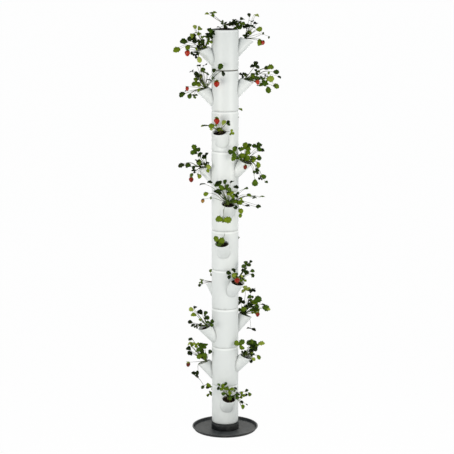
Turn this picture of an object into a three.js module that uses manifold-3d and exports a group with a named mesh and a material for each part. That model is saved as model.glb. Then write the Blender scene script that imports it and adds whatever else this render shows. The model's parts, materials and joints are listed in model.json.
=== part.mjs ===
// A stacked planter tower: ten like tiers of white pipe, each turned to its own angle on the one
// below it, on a dark collar in a round saucer, filled with soil and planted with strawberries.
// Millimetres, +Z up, origin on the floor under the middle of the saucer, the viewer towards -Y.
import * as THREE from "three";
import { mergeVertices } from "three/addons/utils/BufferGeometryUtils.js";
import Module from "manifold-3d";

const wasm = await Module();
wasm.setup();

// Sizes that all pieces share
const seatGap = 0.3; // between a piece and what it sits on
const overrun = 5; // how far a cutting shape runs past what it cuts

// The pipe of a tier
const columnRadius = 62.5;
const shellWall = 2.6;
const tierPitch = 186;
const shoulderHeight = 10; // the rounded shoulder under each seam
const shoulderDepth = 4.5;
const rimLand = 2.3; // the flat top of the shoulder, which carries the next tier
const hemHeight = 14; // where the pipe draws in over each seam
const hemDepth = 3.5;
const spigotLength = 18;
const spigotClearance = 0.4;

// The two planting pockets of a tier
const pocketProud = 69.5; // from the pipe's face to the tip of the pocket
const pocketWidth = 66; // across the oval tube, as seen from the front
const pocketDepth = 57; // across the tube in the plane through the column's axis
const pocketWall = 2.5;
const pocketLean = 45; // degrees above the horizontal
const mouthSlope = 20; // degrees that the mouth falls outwards
const highTipDrop = 59; // from the top of the tier down to the pocket's tip
const lowTipDrop = 99;
const soilDrop = 14; // from the mouth of a pocket down to its soil

// The foot
const saucerRadius = 156;
const saucerHeight = 14;
const saucerFloor = 3;
const saucerWall = 3;
const saucerFlare = 5; // how far the wall leans out from its foot to its lip
const lipWidth = 4;
const collarProud = 2.5; // how far the collar stands out of the pipe's face
const collarHeight = 34;
const collarTopProud = 0.5;
const collarStep = 8; // height of the narrower top of the collar
const collarFootWall = 5;
const ledgeWidth = 5; // the ledge in the collar that carries the grate
const ledgeHeight = 3;
const grateHeight = 3;
const grateClearance = 0.5;
const grateHoleRadius = 5;
const grateHoles = 8;
const notchWidth = 14; // the drains under the collar
const notchHeight = 4;
const notchCount = 3;
const keyRingHeight = 4; // the ring on the saucer that the collar slips over
const keyRingWall = 2.5;
const keyRingClearance = 0.4;

// The soil at the top of the tower
const moundHeight = 6; // above the rim, at the middle
const moundEdgeDrop = 5; // below the rim, at the wall

// The plants
const rootRadius = 7;
const rootHeight = 15;
const rootInset = 6; // from the middle of a pocket's soil towards the column
const stalkRadius = 1.4;
const leafletLength = 32;
const leafletWidth = 25;
const leafThickness = 1.4;
const leafDroop = 24; // degrees
const leafletSpread = 84; // degrees between the leaflets of a leaf
const berryLength = 28;
const berryRadius = 12;
const stalkLift = 10; // how high a stalk passes over the rim

// How finely round shapes are cut
const columnSides = 20;
const pocketSides = 12;
const saucerSides = 28;
const holeSides = 6;
const rootSides = 5;
const berrySides = 5;
const stalkSteps = 3;
const edgeSteps = 2;

// Each tier's turn in degrees, bottom to top, and where the leaves and berries of its two plants
// are. A place is [outwards, sideways, up] from the axis and the pocket's tip, in shares of the
// distance between them, and a leaf ends with its size as a share of a full leaf.
const tierRows = [
  {
    turn: 10,
    high: {
      leafShares: [
        [0.68, -0.3, 0.56, 0.8],
        [0.7, 0.22, 0.5, 0.8],
        [0.5, 0.75, 0.2, 0.8],
        [0.98, 0.5, -0.1, 0.7],
      ],
      berryShares: [],
    },
    low: {
      leafShares: [
        [1.05, 0.25, 0.3, 0.8],
        [0.95, -0.3, 0.25, 0.8],
      ],
      berryShares: [],
    },
  },
  {
    turn: 78,
    high: {
      leafShares: [
        [0.64, -0.48, 0.56, 0.9],
        [1.3, 0.1, 0.5, 1],
        [1.22, -0.1, 0.1, 0.8],
      ],
      berryShares: [],
    },
    low: {
      leafShares: [
        [1.28, 0, 0.85, 0.7],
        [0.82, 0.3, 0.5, 0.9],
        [1.1, -0.15, -0.3, 0.7],
      ],
      berryShares: [[1.33, 0.14, -0.05]],
    },
  },
  {
    turn: 110,
    high: {
      leafShares: [
        [1, 0.57, 0.76, 0.8],
        [1.22, 0.22, 0.86, 0.7],
        [1.22, -0.1, 0.56, 0.9],
        [1.42, -0.4, 0.4, 0.8],
      ],
      berryShares: [[1.07, -0.47, 0.14]],
    },
    low: {
      leafShares: [
        [0.85, -0.1, 0.56, 0.8],
        [0.74, 0.5, 0.28, 0.9],
        [1.26, -0.2, 0.2, 0.7],
      ],
      berryShares: [],
    },
  },
  {
    turn: 35,
    high: {
      leafShares: [
        [0.8, 0.35, 0.6, 0.8],
        [0.93, 0.53, 0.42, 0.8],
        [0.74, -0.3, 0.45, 0.8],
      ],
      berryShares: [[0.95, -0.13, 0.22]],
    },
    low: {
      leafShares: [
        [0.92, 0.55, 0.08, 0.7],
        [0.68, 0.15, 0.52, 0.8],
      ],
      berryShares: [],
    },
  },
  {
    turn: -8,
    high: {
      leafShares: [[0.92, -0.12, 0.28, 1.05]],
      berryShares: [],
    },
    low: {
      leafShares: [
        [1, 0.2, 0.3, 0.8],
        [0.9, -0.25, 0.35, 0.7],
      ],
      berryShares: [],
    },
  },
  {
    turn: 9,
    high: {
      leafShares: [
        [0.74, -0.5, 0.7, 0.8],
        [0.66, 0.85, 0.3, 0.8],
        [0.86, 0.6, 0.02, 0.8],
        [1.1, -0.2, -0.3, 0.6],
      ],
      berryShares: [[0.42, -0.84, 0.12]],
    },
    low: {
      leafShares: [
        [1, -0.2, 0.3, 0.8],
        [0.9, 0.25, 0.35, 0.7],
      ],
      berryShares: [],
    },
  },
  {
    turn: 70,
    high: {
      leafShares: [
        [0.56, -0.52, 0.55, 0.8],
        [1.15, 0.3, 0.45, 0.9],
        [1.14, 0.1, 0.08, 0.8],
        [1.38, 0.38, -0.52, 0.7],
      ],
      berryShares: [[0.92, -0.4, -0.05]],
    },
    low: {
      leafShares: [
        [0.66, 0.22, 0.55, 0.7],
        [1.5, 0.15, 0.15, 0.9],
        [0.8, 0.48, -0.1, 0.7],
      ],
      berryShares: [[1.22, 0.2, -0.28]],
    },
  },
  {
    turn: 166,
    high: {
      leafShares: [
        [1, 0.15, 0.35, 0.8],
        [0.86, -0.25, 0.4, 0.7],
      ],
      berryShares: [],
    },
    low: {
      leafShares: [
        [0.76, 0.15, 0.4, 0.6],
        [0.62, -0.57, 0.27, 0.7],
        [0.84, 0.5, 0.1, 0.7],
      ],
      berryShares: [[0.82, -0.15, 0.36]],
    },
  },
  {
    turn: 93,
    high: {
      leafShares: [
        [1.6, 0, 0.45, 0.9],
        [1.6, -0.1, 0.1, 1],
        [1.5, 0.1, -0.25, 0.7],
      ],
      berryShares: [[1.14, -0.2, 0]],
    },
    low: {
      leafShares: [
        [0.92, 0, 0.8, 0.7],
        [0.44, 0.58, 0.7, 0.7],
        [1.45, 0.1, -0.1, 0.7],
      ],
      berryShares: [[0.32, 0.71, 0.3]],
    },
  },
  {
    turn: 100,
    high: {
      leafShares: [
        [1, -0.24, 0.48, 0.8],
        [1.15, 0.1, 0.8, 0.8],
        [0.87, 0.35, 0.3, 0.8],
      ],
      berryShares: [[1.35, 0, 0]],
    },
    low: {
      leafShares: [
        [1.05, 0, 0.8, 0.7],
        [0.6, 0.25, 0.6, 0.9],
        [1.7, 0.1, 0.08, 0.8],
      ],
      berryShares: [[1.33, 0.15, -0.06]],
    },
  },
];

// The plant in the open top of the tower, measured from the rim in the same shares
const topPlant = {
  leafShares: [
    [-0.55, 0, 0.5, 0.7],
    [0.3, -0.12, 0.2, 0.8],
    [0.6, 0.05, 0.34, 0.7],
  ],
  berryShares: [],
};

// Sizes that follow from those above
const columnInnerRadius = columnRadius - shellWall;
const shoulderTopRadius = columnRadius - shoulderDepth;
const socketRadius = shoulderTopRadius - rimLand;
const spigotRadius = socketRadius - spigotClearance;
const spigotInnerRadius = spigotRadius - shellWall;
const shellHeight = tierPitch - seatGap;
const socketCorner = socketRadius / Math.cos(Math.PI / columnSides); // its flats lie on the radius
const tierBase = saucerFloor + seatGap + collarHeight + seatGap;
const collarRadius = columnRadius + collarProud;
const collarTopRadius = columnRadius + collarTopProud;
const pocketReach = columnRadius + pocketProud;

// The lines of a pocket, in the plane through the column's axis: x outwards, y up from the tip
const lean = THREE.MathUtils.degToRad(pocketLean);
const along = new THREE.Vector2(Math.cos(lean), Math.sin(lean));
const inwards = new THREE.Vector2(-along.y, along.x);
const tip = new THREE.Vector2(pocketReach, 0);
const axisFoot = tip.clone().addScaledVector(inwards, pocketDepth / 2);
const mouthTilt = THREE.MathUtils.degToRad(mouthSlope);
const mouthNormal = new THREE.Vector2(Math.sin(mouthTilt), Math.cos(mouthTilt));
const soilRun = (axisFoot.clone().sub(tip).dot(mouthNormal) + soilDrop) / along.dot(mouthNormal);
const soilCentre = axisFoot.clone().addScaledVector(along, -soilRun);
const rootPlace = new THREE.Vector2(mouthNormal.y, -mouthNormal.x)
  .multiplyScalar(-rootInset)
  .add(soilCentre);
const rimRun = pocketReach - rootPlace.x + stalkLift; // from a root to clear of the rim
const innerRun = (pocketReach - spigotInnerRadius) / along.x; // from the tip into the column

const whitePlastic = { color: "#e6e9e5", roughness: 0.32, metalness: 0 };
const darkPlastic = { color: "#3b3e40", roughness: 0.5, metalness: 0 };
const pottingSoil = { color: "#3b2a1f", roughness: 0.95, metalness: 0 };
const leafGreen = { color: "#4d7430", roughness: 0.6, metalness: 0 };

// A three.js geometry as a solid that can be joined and cut.
function solidOf(geometry) {
  const bare = geometry.clone();
  bare.deleteAttribute("normal");
  bare.deleteAttribute("uv");
  const merged = mergeVertices(bare, 1e-3);
  return new wasm.Manifold(
    new wasm.Mesh({
      numProp: 3,
      vertProperties: new Float32Array(merged.attributes.position.array),
      triVerts: new Uint32Array(merged.index.array),
    }),
  );
}

// A solid as a three.js geometry.
function geometryOf(solid) {
  const made = solid.getMesh();
  const geometry = new THREE.BufferGeometry();
  geometry.setAttribute("position", new THREE.BufferAttribute(made.vertProperties, made.numProp));
  geometry.setIndex(new THREE.BufferAttribute(made.triVerts, 1));
  geometry.computeVertexNormals();
  return geometry;
}

function joined(solids) {
  return solids.reduce((whole, solid) => whole.add(solid));
}

// A profile of [radius, height] pairs turned round the vertical axis.
function turned(profile, sides) {
  const points = profile.map(([radius, height]) => new THREE.Vector2(radius, height));
  return solidOf(new THREE.LatheGeometry(points, sides).rotateX(Math.PI / 2));
}

// An upright disc between two heights.
function disc(radius, bottom, top, sides) {
  const plate = new THREE.CylinderGeometry(radius, radius, top - bottom, sides);
  plate.rotateX(Math.PI / 2);
  plate.translate(0, 0, (bottom + top) / 2);
  return solidOf(plate);
}

// An oval rod along a pocket's axis, an inset smaller than the pocket all round, from a run below
// its foot to a run above it.
function pocketRod(inset, below, above) {
  const halfWidth = pocketWidth / 2 - inset;
  const halfDepth = pocketDepth / 2 - inset;
  const rod = new THREE.CylinderGeometry(halfWidth, halfWidth, below + above, pocketSides);
  rod.translate(0, (above - below) / 2, 0);
  rod.rotateX(Math.PI / 2);
  rod.scale(halfDepth / halfWidth, 1, 1);
  rod.rotateY(Math.PI / 2 - lean);
  rod.translate(axisFoot.x, 0, axisFoot.y);
  return solidOf(rod);
}

// Everything above a plane that lies a drop below the pocket's mouth.
function aboveMouth(drop) {
  const span = 2 * (pocketReach + pocketWidth);
  const block = new THREE.BoxGeometry(span, span, span);
  block.translate(0, 0, span / 2 - drop);
  block.rotateY(mouthTilt);
  block.translate(tip.x, 0, tip.y);
  return solidOf(block);
}

// The pocket shapes are made once with their tip at zero height, pointing along +X.
const coreCut = disc(columnRadius - shellWall / 2, -innerRun, innerRun, columnSides);
const pocketTube = pocketRod(0, innerRun, pocketDepth).subtract(aboveMouth(0)).subtract(coreCut);
const pocketBore = pocketRod(pocketWall, innerRun, pocketDepth);
const soilArm = pocketRod(pocketWall + seatGap, innerRun, pocketDepth).subtract(aboveMouth(soilDrop));

// The two pockets of a tier: the way each faces and the height of its tip.
const pockets = {
  high: { facing: -90, tipHeight: shellHeight - highTipDrop },
  low: { facing: 90, tipHeight: shellHeight - lowTipDrop },
};

function inPocket(solid, pocket) {
  return solid.translate([0, 0, pocket.tipHeight]).rotate([0, 0, pocket.facing]);
}

// The quarter round of an edge, from its narrow end to the pipe's full radius, over a signed rise.
function edgeArc(depth, start, rise) {
  return Array.from({ length: edgeSteps + 1 }, (_, i) => {
    const angle = (i / edgeSteps) * (Math.PI / 2);
    return [columnRadius - depth * (1 - Math.sin(angle)), start + rise * (1 - Math.cos(angle))];
  });
}

// One tier's shell: the pipe with its spigot and shoulder, and two pockets opening into it.
function tierShell() {
  const stepFloor = shellWall;
  const pipe = turned(
    [
      [spigotInnerRadius, -spigotLength],
      [spigotRadius, -spigotLength],
      [spigotRadius, 0],
      ...edgeArc(hemDepth, 0, hemHeight),
      ...edgeArc(shoulderDepth, shellHeight, -shoulderHeight).reverse(),
      [socketCorner, shellHeight],
      [columnInnerRadius, shellHeight - shoulderHeight],
      [columnInnerRadius, hemHeight],
      [columnInnerRadius - hemDepth, stepFloor],
      [spigotInnerRadius, stepFloor],
      [spigotInnerRadius, -spigotLength],
    ],
    columnSides,
  );
  const tubes = Object.values(pockets).map((pocket) => inPocket(pocketTube, pocket));
  const bores = Object.values(pockets).map((pocket) => inPocket(pocketBore, pocket));
  return joined([pipe, ...tubes]).subtract(joined(bores));
}

// One tier's soil: the core, down through the spigot, with an arm into each pocket.
function tierSoil(isTop) {
  const coreRadius = columnInnerRadius - seatGap;
  const neckRadius = spigotInnerRadius - seatGap;
  const throatRadius = socketRadius - seatGap;
  const underShoulder = shellHeight - shoulderHeight - seatGap;
  const coreTop = isTop
    ? [
        [coreRadius, underShoulder],
        [throatRadius, shellHeight - moundEdgeDrop],
        [throatRadius / 2, shellHeight + moundHeight / 2],
        [0, shellHeight + moundHeight],
      ]
    : [
        [coreRadius, shellHeight - spigotLength],
        [0, shellHeight - spigotLength],
      ];
  const core = turned(
    [
      [0, -spigotLength],
      [neckRadius, -spigotLength],
      [neckRadius, shellWall + seatGap],
      [coreRadius - hemDepth, shellWall + seatGap],
      [coreRadius, hemHeight + seatGap],
      ...coreTop,
    ],
    columnSides,
  );
  return joined([core, ...Object.values(pockets).map((pocket) => inPocket(soilArm, pocket))]);
}

// A stalk from one point over another to a third.
function stalk(from, over, to) {
  const section = new THREE.Shape();
  for (let i = 0; i < 3; i += 1) {
    const angle = (i / 3) * 2 * Math.PI;
    const corner = [stalkRadius * Math.cos(angle), stalkRadius * Math.sin(angle)];
    if (i) section.lineTo(...corner);
    else section.moveTo(...corner);
  }
  const path = new THREE.CatmullRomCurve3([from, over, to]);
  return solidOf(
    new THREE.ExtrudeGeometry(section, { steps: stalkSteps, bevelEnabled: false, extrudePath: path }),
  );
}

// A leaf of three blunt leaflets, flat, with its middle leaflet along +X.
function leafBlade(size) {
  const length = leafletLength * size;
  const halfWidth = (leafletWidth * size) / 2;
  const outlineShares = [
    [0.9, -1],
    [0.9, 1],
  ];
  const waist = length / 6; // where two leaflets part
  const outline = [[-waist / 2, 0]];
  [-1, 0, 1].forEach((leaflet) => {
    const angle = THREE.MathUtils.degToRad(leaflet * leafletSpread);
    const direction = new THREE.Vector2(Math.cos(angle), Math.sin(angle));
    outlineShares.forEach(([alongShare, acrossShare]) => {
      const run = length * alongShare;
      const offset = halfWidth * acrossShare;
      outline.push([
        direction.x * run - direction.y * offset,
        direction.y * run + direction.x * offset,
      ]);
    });
    if (leaflet < 1) {
      const between = angle + THREE.MathUtils.degToRad(leafletSpread / 2);
      outline.push([waist * Math.cos(between), waist * Math.sin(between)]);
    }
  });
  const shape = new THREE.Shape(outline.map(([x, y]) => new THREE.Vector2(x, y)));
  const blade = new THREE.ExtrudeGeometry(shape, { depth: leafThickness, bevelEnabled: false });
  return blade.translate(0, 0, -leafThickness / 2);
}

// A berry that hangs from the origin, point down.
function berryShape() {
  return turned(
    [
      [0, -berryLength],
      [berryRadius * 0.75, -berryLength * 0.65],
      [berryRadius, -berryLength * 0.25],
      [0, 0],
    ],
    berrySides,
  );
}

// A plant whose root stands at a place [outwards, up] on soil tilted as the mouth is.
function plantSolid(root, tilt, rimHeight, levelHeight, rows) {
  const foot = new THREE.Vector3(root[0], 0, root[1]);
  const up = new THREE.Vector3(Math.sin(tilt), 0, Math.cos(tilt));
  const stump = new THREE.CylinderGeometry(rootRadius / 2, rootRadius, rootHeight, rootSides);
  stump.rotateX(Math.PI / 2);
  stump.translate(0, 0, rootHeight / 2 + seatGap);
  stump.rotateY(tilt);
  stump.translate(foot.x, foot.y, foot.z);
  const crown = foot.clone().addScaledVector(up, rootHeight + seatGap - stalkRadius);
  const placeOf = ([out, side, rise]) =>
    new THREE.Vector3(
      out * pocketReach,
      side * pocketReach,
      levelHeight + rise * pocketReach,
    );
  const startFor = (end) => {
    const run = end.clone().sub(crown).setZ(0);
    return crown.clone().addScaledVector(run.normalize(), rootRadius / 2 - stalkRadius);
  };
  const overRim = (start, end) => {
    const run = end.clone().sub(start).setZ(0);
    const hangs = end.z < rimHeight(end.x) + stalkLift;
    const reach = Math.min(hangs ? run.length() : run.length() / 2, hangs ? rimRun : pocketDepth / 2);
    const middle = start.clone().addScaledVector(run.normalize(), reach);
    middle.z = Math.max((start.z + end.z) / 2, rimHeight(middle.x) + stalkLift);
    return middle;
  };
  const pieces = [solidOf(stump)];
  rows.leafShares.forEach((row) => {
    const end = placeOf(row);
    const start = startFor(end);
    pieces.push(stalk(start, overRim(start, end), end));
    const heading = Math.atan2(end.y, end.x);
    const blade = leafBlade(row[3]);
    blade.rotateY(THREE.MathUtils.degToRad(leafDroop));
    blade.rotateZ(heading);
    blade.translate(end.x, end.y, end.z);
    pieces.push(solidOf(blade));
  });
  rows.berryShares.forEach((row) => {
    const end = placeOf(row);
    const start = startFor(end);
    pieces.push(stalk(start, overRim(start, end), end));
    pieces.push(berryShape().translate([end.x, end.y, end.z + stalkRadius]));
  });
  return joined(pieces);
}

function pocketPlant(pocket, rows) {
  const rimHeight = (out) => (pocketReach - out) * Math.tan(mouthTilt);
  return inPocket(plantSolid(rootPlace.toArray(), mouthTilt, rimHeight, 0, rows), pocket);
}

function crownPlant() {
  const rimHeight = () => shellHeight;
  const root = [0, shellHeight + moundHeight];
  return plantSolid(root, 0, rimHeight, shellHeight, topPlant).rotate([0, 0, pockets.high.facing]);
}

// The drains, cut under the collar and through the ring that it slips over.
function drainCuts(bottom) {
  return joined(
    Array.from({ length: notchCount }, (_, i) => {
      const cut = new THREE.BoxGeometry(collarRadius, notchWidth, notchHeight + overrun);
      cut.translate(collarRadius, 0, bottom + (notchHeight - overrun) / 2);
      cut.rotateZ(Math.PI / 2 + (i / notchCount) * 2 * Math.PI);
      return solidOf(cut);
    }),
  );
}

// The saucer, with the ring that keeps the collar in its middle.
function saucerSolid() {
  const footRadius = saucerRadius - lipWidth - saucerFlare;
  const dish = turned(
    [
      [0, 0],
      [footRadius, 0],
      [saucerRadius - lipWidth, saucerHeight - saucerWall],
      [saucerRadius, saucerHeight - saucerWall],
      [saucerRadius, saucerHeight],
      [saucerRadius - lipWidth - saucerWall, saucerHeight],
      [footRadius - saucerWall, saucerFloor],
      [0, saucerFloor],
    ],
    saucerSides,
  );
  const outer = collarRadius - collarFootWall - keyRingClearance;
  const overlap = saucerFloor / 2;
  const bottom = saucerFloor - overlap;
  const top = saucerFloor + keyRingHeight;
  const bore = disc(outer - keyRingWall, bottom - overrun, top + overrun, columnSides);
  const key = disc(outer, bottom, top, columnSides).subtract(bore);
  return dish.add(key.subtract(drainCuts(saucerFloor + overrun)));
}

const ledgeTop = collarHeight + seatGap - spigotLength - seatGap - grateHeight - seatGap;

// The collar: a socket for the lowest tier, with a ledge for the grate.
function collarSolid() {
  const footInner = collarRadius - collarFootWall;
  const body = turned(
    [
      [footInner, 0],
      [collarRadius, 0],
      [collarRadius, collarHeight - collarStep],
      [collarTopRadius, collarHeight - collarStep],
      [collarTopRadius, collarHeight],
      [socketCorner, collarHeight],
      [socketCorner, ledgeTop],
      [socketRadius - ledgeWidth, ledgeTop],
      [socketRadius - ledgeWidth, ledgeTop - ledgeHeight],
      [footInner, ledgeTop - ledgeHeight],
      [footInner, 0],
    ],
    columnSides,
  );
  return body.subtract(drainCuts(0));
}

// The grate: a disc with a ring of drain holes.
function grateSolid() {
  const radius = socketRadius - grateClearance;
  const plate = disc(radius, 0, grateHeight, columnSides);
  const place = radius / 2;
  const holes = Array.from({ length: grateHoles }, (_, i) => {
    const angle = (i / grateHoles) * 2 * Math.PI;
    const hole = disc(grateHoleRadius, -overrun, grateHeight + overrun, holeSides);
    return hole.translate([place * Math.cos(angle), place * Math.sin(angle), 0]);
  });
  return plate.subtract(joined(holes));
}

function namedMesh(name, solid, finish) {
  const mesh = new THREE.Mesh(geometryOf(solid), new THREE.MeshStandardMaterial(finish));
  mesh.name = name;
  return mesh;
}

const tower = new THREE.Group();

const foot = new THREE.Group();
tower.add(foot);
foot.add(namedMesh("saucer", saucerSolid(), darkPlastic));
const collar = namedMesh("collar", collarSolid(), darkPlastic);
collar.position.z = saucerFloor + seatGap;
foot.add(collar);
const grate = namedMesh("drain_grate", grateSolid(), darkPlastic);
grate.position.z = collar.position.z + ledgeTop + seatGap;
foot.add(grate);

const shell = tierShell();
tierRows.forEach((row, i) => {
  const label = `tier_${String(i + 1).padStart(2, "0")}`;
  const isTop = i === tierRows.length - 1;
  const tier = new THREE.Group();
  tier.position.z = tierBase + i * tierPitch;
  tier.rotation.z = THREE.MathUtils.degToRad(row.turn);
  tower.add(tier);
  tier.add(namedMesh(`${label}_shell`, shell, whitePlastic));
  tier.add(namedMesh(`${label}_soil`, tierSoil(isTop), pottingSoil));
  tier.add(namedMesh(`${label}_plant_high`, pocketPlant(pockets.high, row.high), leafGreen));
  tier.add(namedMesh(`${label}_plant_low`, pocketPlant(pockets.low, row.low), leafGreen));
  if (isTop) tier.add(namedMesh("crown_plant", crownPlant(), leafGreen));
});

export default tower;
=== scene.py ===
import json
import math
import random

import bmesh
import bpy
from mathutils import Matrix, Vector, noise

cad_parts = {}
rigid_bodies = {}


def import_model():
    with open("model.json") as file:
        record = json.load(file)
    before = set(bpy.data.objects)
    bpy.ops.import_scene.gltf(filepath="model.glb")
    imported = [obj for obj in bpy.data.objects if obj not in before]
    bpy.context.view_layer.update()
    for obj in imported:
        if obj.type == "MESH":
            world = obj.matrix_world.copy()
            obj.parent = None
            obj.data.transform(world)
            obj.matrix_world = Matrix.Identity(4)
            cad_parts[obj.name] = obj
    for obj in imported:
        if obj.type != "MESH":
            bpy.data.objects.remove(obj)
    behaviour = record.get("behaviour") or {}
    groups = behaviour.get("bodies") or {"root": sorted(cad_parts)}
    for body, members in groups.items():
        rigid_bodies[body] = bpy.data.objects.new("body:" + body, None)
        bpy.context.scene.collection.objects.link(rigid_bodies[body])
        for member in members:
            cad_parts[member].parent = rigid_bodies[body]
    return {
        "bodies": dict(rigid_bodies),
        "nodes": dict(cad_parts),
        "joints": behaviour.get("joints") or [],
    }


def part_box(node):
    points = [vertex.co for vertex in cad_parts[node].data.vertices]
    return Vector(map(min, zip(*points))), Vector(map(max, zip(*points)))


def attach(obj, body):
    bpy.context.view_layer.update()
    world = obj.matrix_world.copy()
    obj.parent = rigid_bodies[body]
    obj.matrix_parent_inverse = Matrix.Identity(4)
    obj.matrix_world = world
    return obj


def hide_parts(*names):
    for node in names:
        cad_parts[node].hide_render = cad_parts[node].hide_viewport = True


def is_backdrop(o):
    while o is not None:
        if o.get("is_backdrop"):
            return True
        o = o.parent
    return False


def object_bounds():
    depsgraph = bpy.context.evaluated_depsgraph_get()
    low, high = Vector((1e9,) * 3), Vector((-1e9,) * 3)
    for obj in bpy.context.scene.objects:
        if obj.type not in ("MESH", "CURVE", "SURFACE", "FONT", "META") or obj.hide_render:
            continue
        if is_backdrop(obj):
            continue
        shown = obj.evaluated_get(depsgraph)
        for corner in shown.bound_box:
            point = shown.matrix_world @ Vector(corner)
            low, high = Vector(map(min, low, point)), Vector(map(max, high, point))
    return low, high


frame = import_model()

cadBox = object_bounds()
mm = 0.001  # the dictionaries below give millimetres and degrees, apart from the view, room and lamps
up = Vector((0, 0, 1))
towardsViewer = Vector((0, -1, 0))
fullTurn = 2 * math.pi
quarterTurn = math.pi / 2
white = (1, 1, 1, 1)

# The camera stands half a metre above the top of the tower and looks down at its middle
view = {
    "distance": 7.5,  # metres, as are the next three
    "height": 2.443,
    "aside": 0.009,
    "farthest": 200,
    "pitch": 11.05,  # degrees
    "sensorWidth": 36,  # millimetres
    "focalPixels": 1639,
    "imagePixels": 454,
}


def makeCamera():
    lens = bpy.data.cameras.new("camera")
    lens.sensor_width = view["sensorWidth"]
    lens.lens = view["focalPixels"] * view["sensorWidth"] / view["imagePixels"]
    lens.clip_end = view["farthest"]
    camera = bpy.data.objects.new("camera", lens)
    camera.location = (view["aside"], -view["distance"], view["height"])
    camera.rotation_euler = (math.radians(90 - view["pitch"]), 0, 0)
    bpy.context.scene.collection.objects.link(camera)
    bpy.context.scene.camera = camera


# Soft, slightly warm lamps, each aimed at a height on the column's axis: to the left, to the right and
# behind the middle tiers, and a weak one for the saucer. Their sizes and places are in metres.
lampColor = (1.0, 0.965, 0.90)
lamps = {
    "key": {"power": 6.7, "size": (1.2, 0.8), "spread": 110, "place": (-1.45, -1.45, 1.22), "aim": 1.20},
    "fill": {"power": 6.5, "size": (1.2, 0.8), "spread": 110, "place": (1.65, -1.20, 1.18), "aim": 1.20},
    "rear": {"power": 4.0, "size": (1.2, 0.8), "spread": 110, "place": (0, 2.05, 1.25), "aim": 1.20},
    "foot": {"power": 0.12, "size": (0.8, 0.25), "spread": 40, "place": (-0.4, -1.3, 0.15), "aim": 0.08},
}


def softLamp(name, power, size, spread, place, aim):
    lamp = bpy.data.lights.new(name, "AREA")
    lamp.shape = "RECTANGLE"
    lamp.size, lamp.size_y = size
    lamp.energy = power
    lamp.spread = math.radians(spread)
    lamp.color = lampColor
    stand = bpy.data.objects.new(name, lamp)
    stand.location = place
    stand.rotation_euler = (Vector((0, 0, aim)) - Vector(place)).to_track_quat("-Z", "Y").to_euler()
    stand.visible_camera = False
    bpy.context.scene.collection.objects.link(stand)


# Short ways to add nodes: an input is either a value or the output that feeds it
def feed(tree, socket, value):
    if isinstance(value, bpy.types.NodeSocket):
        tree.links.new(value, socket)
    else:
        socket.default_value = value


def feedAll(tree, sockets, values):
    for name, value in values.items():
        feed(tree, sockets[name], value)


def addNode(tree, kind, inputs=None, **settings):
    made = tree.nodes.new(kind)
    for name, value in settings.items():
        setattr(made, name, value)
    feedAll(tree, made.inputs, inputs or {})
    return made


def maths(tree, operation, first, second=0.0, third=0.0, clamp=False):
    inputs = {0: first, 1: second, 2: third}
    return addNode(tree, "ShaderNodeMath", inputs, operation=operation, use_clamp=clamp).outputs[0]


def product(tree, first, *others):
    for other in others:
        first = maths(tree, "MULTIPLY", first, other)
    return first


def vectorMaths(tree, operation, inputs, output):
    return addNode(tree, "ShaderNodeVectorMath", inputs, operation=operation).outputs[output]


# The Mix node has its two values at sockets 2 and 3 and its two colours at 6 and 7
def mixValue(tree, factor, first, second):
    return addNode(tree, "ShaderNodeMix", {0: factor, 2: first, 3: second}).outputs[0]


def mixColor(tree, factor, first, second):
    return addNode(tree, "ShaderNodeMix", {0: factor, 6: first, 7: second}, data_type="RGBA").outputs[2]


def band(tree, value, low, high, atLow=0.0, atHigh=1.0):
    inputs = {"Value": value, "From Min": low, "From Max": high, "To Min": atLow, "To Max": atHigh}
    return addNode(tree, "ShaderNodeMapRange", inputs, clamp=True).outputs["Result"]


def ramp(tree, factor, stops):
    made = addNode(tree, "ShaderNodeValToRGB", {"Fac": factor})
    elements = made.color_ramp.elements
    while len(elements) < len(stops):
        elements.new(0.5)
    for element, (place, color) in zip(elements, stops):
        element.position = place
        element.color = (*color, 1)
    return made.outputs["Color"]


def objectPlace(tree):
    return addNode(tree, "ShaderNodeTexCoord").outputs["Object"]


def axisOf(tree, vector, axis):
    return addNode(tree, "ShaderNodeSeparateXYZ", {0: vector}).outputs[axis]


def attributeValue(tree, name):
    return addNode(tree, "ShaderNodeAttribute", attribute_name=name).outputs["Fac"]


def noiseValue(tree, place, scale, detail=2.0, roughness=0.5):
    inputs = {"Vector": place, "Scale": scale, "Detail": detail, "Roughness": roughness}
    return addNode(tree, "ShaderNodeTexNoise", inputs).outputs["Fac"]


def noiseDrift(tree, place, scale, detail=2.0):
    return maths(tree, "SUBTRACT", noiseValue(tree, place, scale, detail), 0.5)


def noiseBand(tree, place, pattern, limits):
    return band(tree, noiseValue(tree, place, *pattern), *limits)


def cellValue(tree, place, scale):
    return addNode(tree, "ShaderNodeTexVoronoi", {"Vector": place, "Scale": scale}).outputs["Distance"]


def bumpNormal(tree, height, strength, depth):
    inputs = {"Height": height, "Strength": strength, "Distance": depth * mm}
    return addNode(tree, "ShaderNodeBump", inputs).outputs["Normal"]


# One value for what the camera sees straight, one for reflections and one for light on matt surfaces
def perRay(tree, straight, glossy, matt):
    path = addNode(tree, "ShaderNodeLightPath").outputs
    others = mixValue(tree, path["Is Glossy Ray"], matt, glossy)
    direct = maths(tree, "MAXIMUM", path["Is Camera Ray"], path["Is Transmission Ray"])
    return mixValue(tree, direct, others, straight)


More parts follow.
